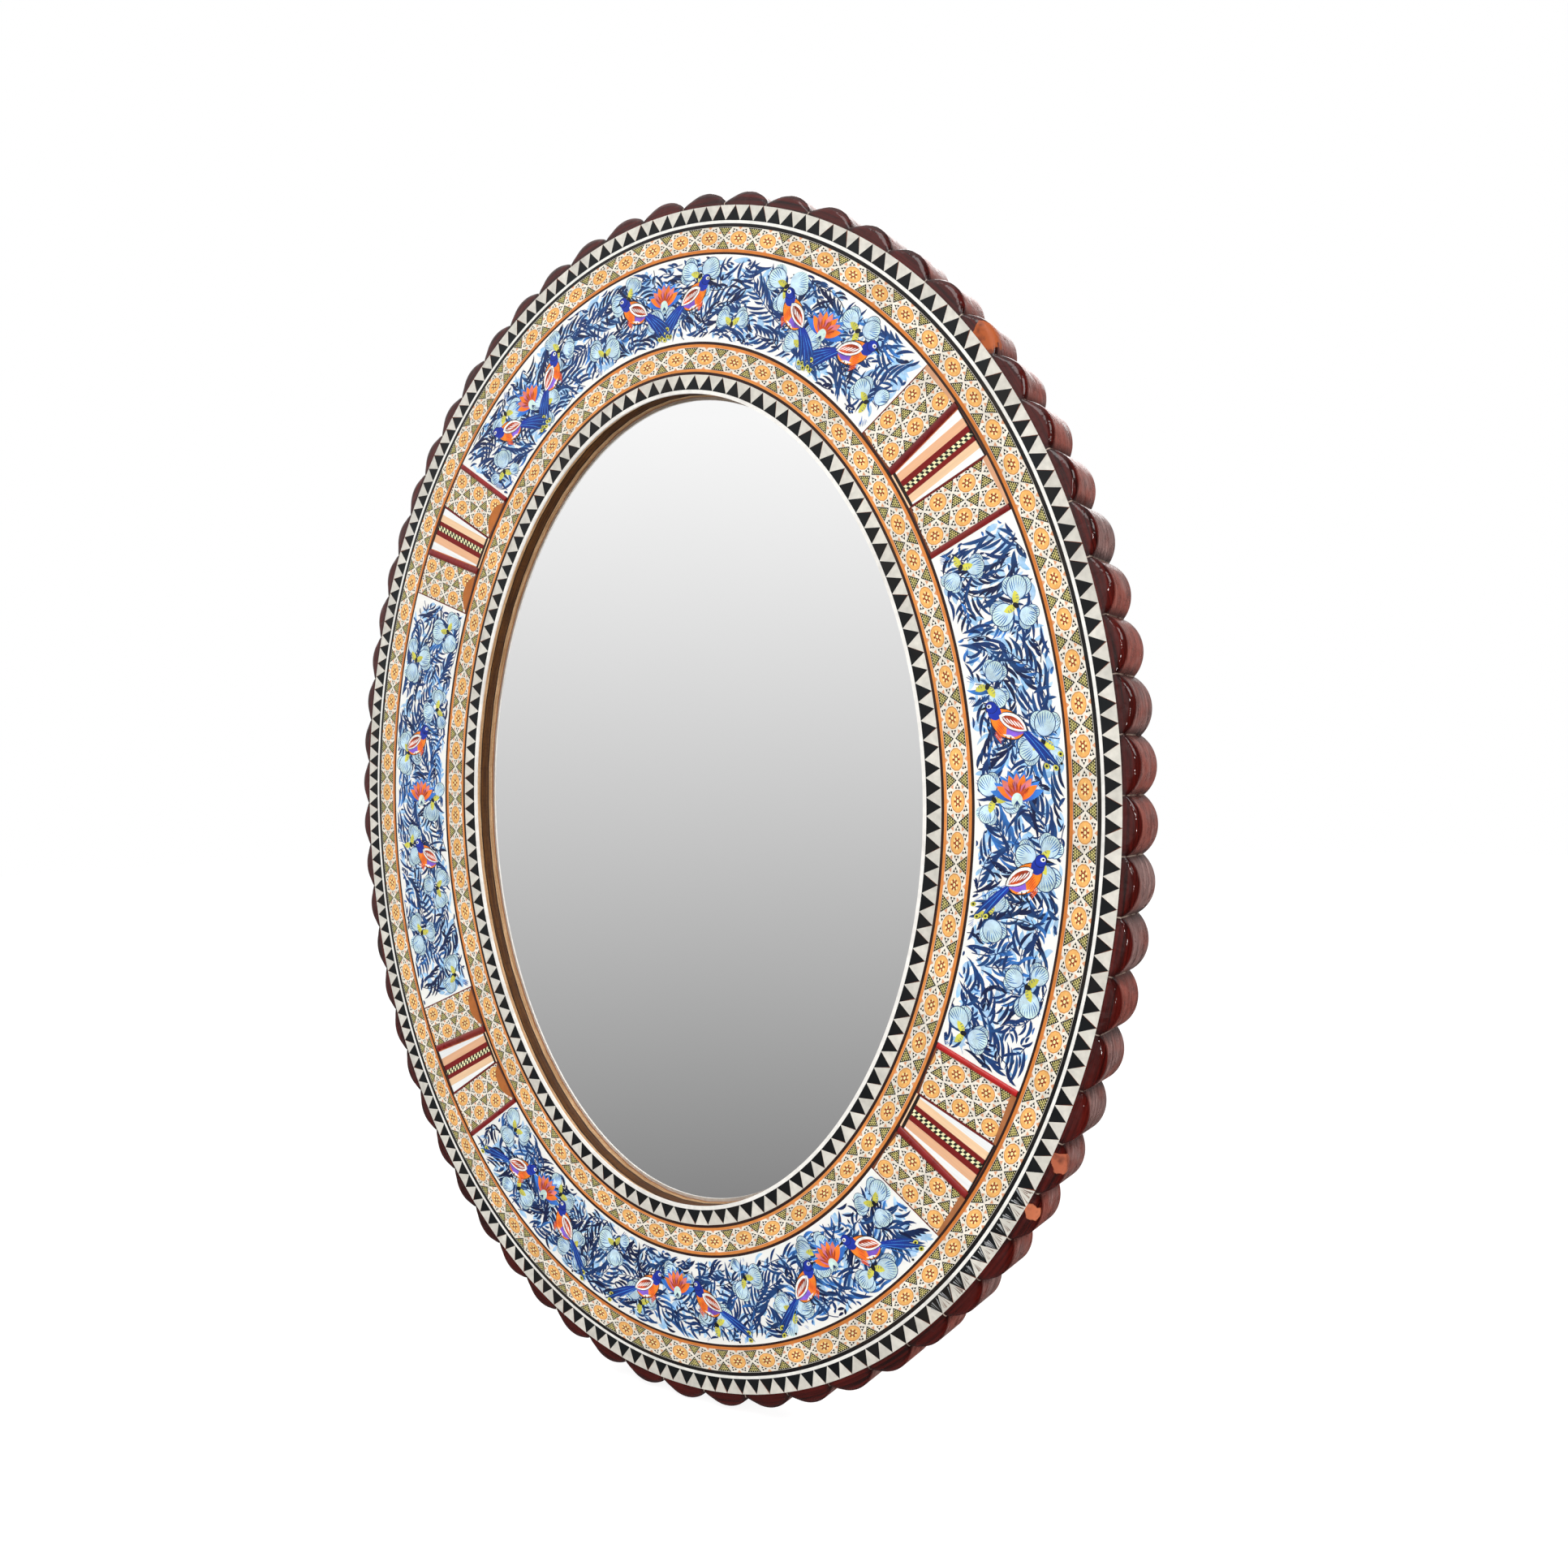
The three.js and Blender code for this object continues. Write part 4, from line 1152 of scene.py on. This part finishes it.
class Brush:
    """Keeps the strokes of one panel, each an outline with a colour at its start and one at its end."""

    def __init__(self, dice):
        self.strokes = []
        self.dice = dice
        self.taken = set()

    def cells(self, outline):
        """The squares of the ground that a leaf covers."""
        return {(int(x // SQUARE), int(y // SQUARE)) for x, y in outline}

    def put_down(self, outline, start, end=None):
        self.strokes.append((outline, PAINT[start], PAINT[end or start]))

    def spray(self, x, y, degrees, length, bend, tones, longest):
        """A stem with curved leaves on both sides. It ends where it runs into another spray."""
        if self.cells([(x, y)]) & self.taken:
            return
        count = int(length / (1.15 + 0.12 * longest))
        heading, stem, leaves, own = degrees, [(x, y)], [], set()
        bow_of_all = self.dice.uniform(35, 75)
        for i in range(count):
            share = i / count
            heading += bend / count
            x += length / count * math.cos(math.radians(heading))
            y += length / count * math.sin(math.radians(heading))
            if self.cells([(x, y)]) & self.taken:
                break
            size = (longest * math.sin(math.pi * (0.3 + 0.58 * share)) + 1.2) * self.dice.uniform(0.85, 1.15)
            grown = 0
            for side in (1, -1):
                for shrink in (1.0, 0.7, 0.45):
                    lean = side * self.dice.uniform(46, 56)
                    width = self.dice.uniform(1.1, 1.45) * (0.6 + 0.4 * shrink)
                    bow = -side * bow_of_all * self.dice.uniform(0.85, 1.15)
                    outline = leaf(x, y, heading + lean, size * shrink, width, bow)
                    covered = self.cells(outline[2:-1])
                    if not covered & self.taken:
                        own |= covered
                        leaves.append(outline)
                        grown += 1
                        break
            if not grown:
                break
            stem.append((x, y))
        if len(leaves) < 4:
            return
        self.taken |= own
        self.put_down(thread(stem, 0.34), tones[0])
        for outline in leaves:
            self.put_down(outline, tones[0], self.dice.choice(tones))

    def lone_leaf(self, x, y, tones):
        """One short curved leaf in a gap between the sprays."""
        length, bow = self.dice.uniform(2.0, 4.0), self.dice.choice((-1, 1)) * self.dice.uniform(30, 90)
        outline = leaf(x, y, self.dice.uniform(0, 360), length, self.dice.uniform(0.6, 0.95), bow)
        covered = self.cells(outline)
        if not covered & self.taken:
            self.taken |= covered
            self.put_down(outline, tones[0], tones[-1])

    def shell(self, x, y, size, degrees):
        """A pale petal, nearly round, with strokes that run in from its edge towards its foot."""
        turned = math.radians(degrees)
        foot = (x - 0.85 * size * math.cos(turned), y - 0.85 * size * math.sin(turned))
        self.put_down(round_spot(x, y, size * 1.06, size * 0.96, degrees), "deep", "steel")
        self.put_down(round_spot(x, y, size * 0.98, size * 0.88, degrees), "mint", "wash")
        shaded = self.dice.choice((-1, 1))
        for i in range(8):
            turn = shaded * (-58 + 15 * i)
            edge = polar(size * 0.95, degrees + turn, (x, y))
            aim = math.degrees(math.atan2(foot[1] - edge[1], foot[0] - edge[0]))
            reach = math.hypot(foot[0] - edge[0], foot[1] - edge[1])
            reach *= self.dice.uniform(0.5, 0.9) * (0.6 + 0.05 * i)
            tone = "deep" if i > 5 else "steel"
            self.put_down(leaf(*edge, aim - turn * 0.35, reach, 0.14 + 0.035 * i, turn * 0.7), tone, "sky")

    def blossom(self, x, y, size, degrees):
        """A pale blossom of three petals, the middle one over the others."""
        for side in (-1, 1):
            self.shell(*polar(size * 0.5, degrees + side * 80, (x, y)), size * 0.68, degrees + side * 28)
        self.shell(x, y, size * 0.86, degrees)

    def calyx(self, x, y, degrees):
        """Two yellow-green leaves that part from a dark heart."""
        for side in (-1, 1):
            self.put_down(leaf(x, y, degrees + side * 62, 5.0, 2.6, -side * 20), "yellow")
            for share in (0.25, 0.45, 0.65):
                spot = polar(5.0 * share, degrees + side * 58, (x, y))
                self.put_down(leaf(*spot, degrees + side * 140, 1.2, 0.25, 0), "steel")
        self.put_down(round_spot(x, y, 1.25, 0.9, degrees), "black")

    def carnation(self, x, y, size, degrees):
        """A fan-shaped flower with ragged orange petals over violet ones and a mint cup."""
        for i in range(9):
            turned = degrees - 72 + 18 * i
            self.put_down(leaf(x, y, turned, size * 1.12, size * 0.34, 0), "cobalt", "sky")
        for i in range(7):
            turned = degrees - 57 + 19 * i
            tone = "violet" if i % 2 else "ember"
            self.put_down(leaf(x, y, turned, size * 0.96, size * 0.34, 0), tone, "orange")
        for i in range(7):
            turned = degrees - 48 + 16 * i
            self.put_down(leaf(x, y, turned, size * 0.66, size * 0.09, 0), "ember", "rust")
        self.put_down(round_spot(x, y, size * 0.27, size * 0.22, degrees), "mint")
        for i in range(4):
            self.put_down(leaf(x, y, degrees + 150 + 20 * i, size * 0.3, 0.4, 0), "deep")

    def bird(self, x, y, size, degrees, way):
        """A small bird that sits upright. The way is 1 where it looks to the right."""
        turned = math.radians(degrees)

        def at(a, b):
            return turned_by(turned, size * a * way, size * b, x, y)

        def line(*spots, width=0.03, tone="black"):
            self.put_down(thread([at(*spot) for spot in spots], width * size), tone)

        def filled(spots, start, end=None):
            self.put_down([at(*spot) for spot in spots], start, end)

        def oval_spot(a, b, long, short, lean, tone, end=None):
            filled(round_spot(a, b, long, short, lean, 22), tone, end)

        for i, reach in enumerate((1.35, 1.5, 1.45, 1.25)):
            lean = 205 + 7 * i
            filled(leaf(-0.28, -0.12, lean, reach, 0.15, 16, 8), "cobalt", "deep")
            filled(leaf(-0.3, -0.12, lean, reach * 0.92, 0.02, 16, 8), "sky")
            tip_x = -0.28 + reach * 0.9 * math.cos(math.radians(lean + 9))
            tip_y = -0.12 + reach * 0.9 * math.sin(math.radians(lean + 9))
            oval_spot(tip_x, tip_y, 0.075, 0.06, lean, "yellow")
            oval_spot(tip_x, tip_y, 0.035, 0.03, lean, "black")
        oval_spot(0.0, 0.0, 0.49, 0.325, 38, "black")
        oval_spot(0.0, 0.0, 0.47, 0.305, 38, "orange")
        flank = [(-0.4, -0.26), (-0.2, -0.32), (0.06, -0.28), (0.0, 0.0), (-0.3, 0.02), (-0.42, -0.12)]
        filled(flank, "violet")
        for i in range(8):
            start_b = -0.2 + 0.05 * i
            filled(leaf(0.36 - 0.02 * i, start_b, 232, 0.3, 0.035, 10), "ember")
        for i in range(6):
            filled(leaf(0.24 - 0.05 * i, -0.2 - 0.01 * i, 215, 0.2, 0.03, 0), "orange" if i < 2 else "white")
        oval_spot(0.3, 0.32, 0.2, 0.17, 60, "cobalt")
        oval_spot(0.37, 0.45, 0.165, 0.15, 20, "black")
        oval_spot(0.37, 0.45, 0.15, 0.137, 20, "cobalt")
        filled([(0.49, 0.5), (0.72, 0.43), (0.5, 0.42)], "black")
        oval_spot(0.42, 0.48, 0.065, 0.05, 0, "white")
        oval_spot(0.43, 0.48, 0.03, 0.03, 0, "black")
        filled(leaf(0.2, 0.24, 208, 0.85, 0.4, 12, 10), "black")
        filled(leaf(0.19, 0.23, 208, 0.81, 0.36, 12, 10), "white")
        filled(leaf(0.12, 0.18, 208, 0.66, 0.24, 12, 10), "rust", "ember")
        for i in range(5):
            filled(leaf(0.1 - 0.09 * i, 0.19 - 0.04 * i, 236, 0.26, 0.03, -10), "white")
        line((0.06, -0.28), (0.1, -0.45), (0.18, -0.5))
        line((-0.06, -0.3), (-0.04, -0.47), (0.04, -0.52))


def inside(outline, half_length, slants, margin=0.45):
    """Whether an outline stays on the panel, whose ends lean by the slants."""
    for x, y in outline:
        share = (HALF_PANEL - y) / (2 * HALF_PANEL)
        first, last = (half + slant * share - margin for half, slant in zip(half_length, slants))
        if abs(y) > HALF_PANEL - margin or x > first or x < -last:
            return False
    return True


def paint_panel(brush, half_length, ups):
    """Lays out one panel: washes, sprays that follow a wave, blossoms, and birds beside the carnations."""
    dice = brush.dice
    reach = max(half_length)
    for wash in range(int(reach * WASHES_PER_MM)):
        spot = (dice.uniform(-reach, reach), dice.uniform(-17, 17), dice.uniform(0, 360))
        stroke = leaf(*spot, dice.uniform(4, 8), dice.uniform(1.2, 2.4), dice.uniform(-90, 90))
        brush.put_down(stroke, "pale_blue", "wash")
    for tries, length, longest in SPRAY_PASSES:
        for spray in range(int(tries * reach / USUAL_REACH)):
            x, y = dice.uniform(-reach - 3, reach + 3), dice.uniform(-18, 18)
            heading = math.degrees(math.atan(0.9 * math.cos(2 * math.pi * x / WAVE))) + dice.uniform(-50, 50)
            heading += 180 * dice.choice((0, 1))
            bend = dice.choice((-1, 1)) * dice.uniform(30, 110)
            own_length = length * dice.uniform(0.8, 1.2)
            brush.spray(x, y, heading, own_length, bend, dice.choice(SPRAY_TONES), longest)
    for lone in range(int(reach * LEAVES_PER_MM)):
        x, y = dice.uniform(-reach, reach), dice.uniform(-HALF_PANEL, HALF_PANEL)
        brush.lone_leaf(x, y, dice.choice(SPRAY_TONES))
    motifs = int(2 * reach / BLOSSOM_SPACING)
    for i in range(motifs):
        x = -reach + (i + 0.5) * 2 * reach / motifs + dice.uniform(-2, 2)
        y = BLOSSOM_OFFSET * (1 if i % 2 else -1) + dice.uniform(-1.5, 1.5)
        turned = dice.uniform(0, 360)
        for k in range(3):
            spot = polar(5.8, turned + 125 * k, (x, y))
            brush.blossom(*spot, dice.uniform(3.8, 5.2), turned + 125 * k)
        brush.calyx(x, y, turned + 62)
    flowers = 3 if reach > LONG_REACH else 1
    for i in range(flowers):
        x = (i - (flowers - 1) / 2) * 2 * reach / flowers
        brush.carnation(x, -1.0, CARNATION_SIZE, 90 + ups)
        lying = ups in (0, 180)
        for side in (-1, 1):
            away, height = (17.0, 1.0) if lying else (26.0, -3.0 * side)
            brush.bird(x + side * away, height, BIRD_SIZE, ups, side)


midline = PERIMETER + 2 * math.pi * (FIELD_TOP + FIELD_FOOT) / 2
for number, (label, ups, seed) in enumerate(PANELS):
    start, end = DIVIDERS[number], DIVIDERS[(number + 1) % len(DIVIDERS)]
    ends = []
    for place, way in ((start, 1), (end, -1)):
        edge = 5 if place["way"] == way else 0
        sides = (OUTER_END[edge], INNER_END[edge])
        ends.append([place["turn"] + place["way"] * side * MM / PERIMETER for side in sides])
    if ends[1][0] < ends[0][0]:
        ends[1] = [turn + 1 for turn in ends[1]]
    middle_turn = (ends[0][0] + ends[1][0]) / 2
    steps = np.linspace(0, 1, PANEL_STEPS)
    outer_turns = ends[0][0] + (ends[1][0] - ends[0][0]) * steps
    inner_turns = ends[0][1] + (ends[1][1] - ends[0][1]) * steps
    top, foot = oval(outer_turns, FIELD_TOP), oval(inner_turns, FIELD_FOOT)
    flat = np.stack([top, foot, foot, top], 1)
    points, faces = swept(at_depth(flat, np.array([FACE, FACE, INLAY_BACK, INLAY_BACK])), False)
    points, slab_faces = list(points), len(faces)
    half_length = [(middle_turn - ends[0][0]) * midline / MM, (ends[1][0] - middle_turn) * midline / MM]
    slants = [(ends[0][0] - ends[0][1]) * midline / MM, (ends[1][1] - ends[1][0]) * midline / MM]
    brush = Brush(random.Random(seed))
    paint_panel(brush, half_length, ups)
    kept = [s for s in brush.strokes if inside(s[0], half_length[::-1], slants[::-1])]
    for k, (outline, _, _) in enumerate(kept):
        flat = np.array(outline) * MM
        spots = oval(middle_turn + flat[:, 0] / midline, (FIELD_TOP + FIELD_FOOT) / 2 + flat[:, 1])
        faces.append(list(range(len(points), len(points) + len(spots))))
        points += list(at_depth(spots, FACE - PAINT_LIFT - k * PAINT_STEP))
    name, node = f"painted_panel_{label}_painting", f"painted_panel_{label}"
    made = piece(name, points, faces, [ivory, paint], instead_of=[node], solid=False)
    face_front(made, slab_faces)
    layer = made.data.color_attributes.new("slip", "FLOAT_COLOR", "CORNER")
    for face, (outline, first, last) in zip(list(made.data.polygons)[slab_faces:], kept):
        lift = 1 + brush.dice.uniform(-0.12, 0.12)
        spread = len(outline) / 2
        lowest = min(face.vertices)
        for corner in face.loop_indices:
            passed = made.data.loops[corner].vertex_index - lowest
            share = min(passed, len(outline) - passed) / spread
            colour = [min(1.0, (a + (b - a) * share) * lift) for a, b in zip(first[:3], last[:3])]
            layer.data[corner].color = colour + [1.0]
    unroll(made, FIELD_TOP, FIELD_FOOT, PANEL_ROWS, middle_turn)

# The mirror is an oval plate of glass, silvered on its back. It is cut a little smaller than the rebate that
# it lies in.

glass, tree, shader = new_finish("silvered_glass", Metallic=1.0, Roughness=0.02)
look = mottled(tree, (0.93, 0.93, 0.93, 1), 6.0, 0.01, 0.0)
tree.links.new(look["Color"], shader.inputs["Base Color"])

# Three boards lie behind the inlay: a light one that carries it, a brown lip that the glass rests on, and a
# deeper one with the rebate. The first two are sawn to rings and glued up. Their edges show in the opening.


def turned_wood(name, pale, dark, pores, edges=()):
    """Wood sawn to a ring, with its layers along the ring. Edges are lines of colour between two depths in
    mm.
    """
    finish, tree, shader = new_finish(name, Roughness=0.62, Specular_IOR_Level=0.25)
    place = where_on(tree)
    look = grained(tree, place, (70.0, 1300.0, 70.0), shade(pale), shade(dark), pores)
    depth = put(tree, "SeparateXYZ", {0: place}).outputs["Y"]
    speck = ramp(tree, noise(tree, place, 900.0, 2.0), 0.5, 0.68, 0.0, 0.5)
    colour = blend(tree, speck, look["Color"], shade(dark))
    for start, end, tone in edges:
        after = ramp(tree, depth, (start - 0.08) * MM, start * MM)
        before = ramp(tree, depth, end * MM, (end - 0.08) * MM)
        colour = blend(tree, maths(tree, "MULTIPLY", after, before), colour, shade(tone))
    tree.links.new(colour, shader.inputs["Base Color"])
    emboss(tree, shader, look["Height"], 0.5, 0.15)
    return finish


def sawn_wood(name, roughness, stretch, pale, dark, marks, mark_tone):
    """A raw board. Its marks have a scale, detail, distortion, a level that they start at and a strength."""
    finish, tree, shader = new_finish(name, Roughness=roughness, Specular_IOR_Level=0.25)
    place = where_on(tree)
    look = grained(tree, place, stretch, shade(pale), shade(dark), 0.5)
    *pattern, start, most = marks
    marked = ramp(tree, noise(tree, place, *pattern), start, 0.75, 0.0, most)
    tree.links.new(blend(tree, marked, look["Color"], shade(mark_tone)), shader.inputs["Base Color"])
    emboss(tree, shader, look["Height"], 0.4, 0.15)
    return finish


# Two lines of colour run round the raw wood at given depths, an orange one and a dark one.
edge_lines = ((-19.3, -18.8, "c06a2a"), (-16.4, -15.8, "1c120c"))
raw_wood = turned_wood("raw_wood", "dcb488", "a47a50", 0.35, edge_lines)
brown_wood = turned_wood("brown_wood", "6a4016", "3c2008", 0.5)

# The deepest board is sawn from a wide plank, with its grain across, and is left raw behind. The backing
# board has its grain upright and a few darker stains.

saw_marks, stains = (30.0, 3.0, 0.0, 0.5, 0.3), (14.0, 2.0, 1.0, 0.55, 0.45)
plank = sawn_wood("plank_wood", 0.72, (7.0, 260.0, 150.0), "cfa678", "99703f", saw_marks, "7c5a38")
backing = sawn_wood("backing_wood", 0.7, (260.0, 260.0, 9.0), "c09a68", "8c6236", stains, "6e4c2a")

# A packing sheet of grey-brown card lies between the glass and the backing board. It fills the rebate and
# keeps the glass from rattling.

packing, tree, shader = new_finish("packing_card", Roughness=0.9, Specular_IOR_Level=0.2)
fibre = noise(tree, where_on(tree), 700.0, 6.0, 1.5)
card = blend(tree, ramp(tree, fibre, 0.35, 0.65), shade("8c7452"), shade("b89e74"))
tree.links.new(card, shader.inputs["Base Color"])
emboss(tree, shader, fibre, 0.4, 0.1)

# Four turn buttons on screws hold the backing board, and the mirror hangs from a D-shaped ring in a strap.
# All are of zinc-plated steel, stamped or bent from wire, and a little dulled.

steel, tree, shader = new_finish("plated_steel", Metallic=0.7)
place = where_on(tree)
dull, patches = noise(tree, place, 500.0, 5.0), noise(tree, place, 120.0, 3.0)
zinc = blend(tree, ramp(tree, patches, 0.35, 0.65), shade("b4b6b2"), shade("dadad2"))
tree.links.new(zinc, shader.inputs["Base Color"])
tree.links.new(ramp(tree, dull, 0.3, 0.7, 0.35, 0.55), shader.inputs["Roughness"])
emboss(tree, shader, dull, 0.2, 0.05)

finishes = {
    "silvered_glass": glass,
    "packing_card": packing,
    "plated_steel": steel,
    "raw_wood": raw_wood,
    "brown_wood": brown_wood,
}
board_finishes = {"backing_board": backing, "back_board": plank}
for name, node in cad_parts.items():
    if not node.hide_render:
        slot_name = node.data.materials[0].name.split(".")[0]
        node.data.materials[0] = board_finishes.get(name) or finishes[slot_name]
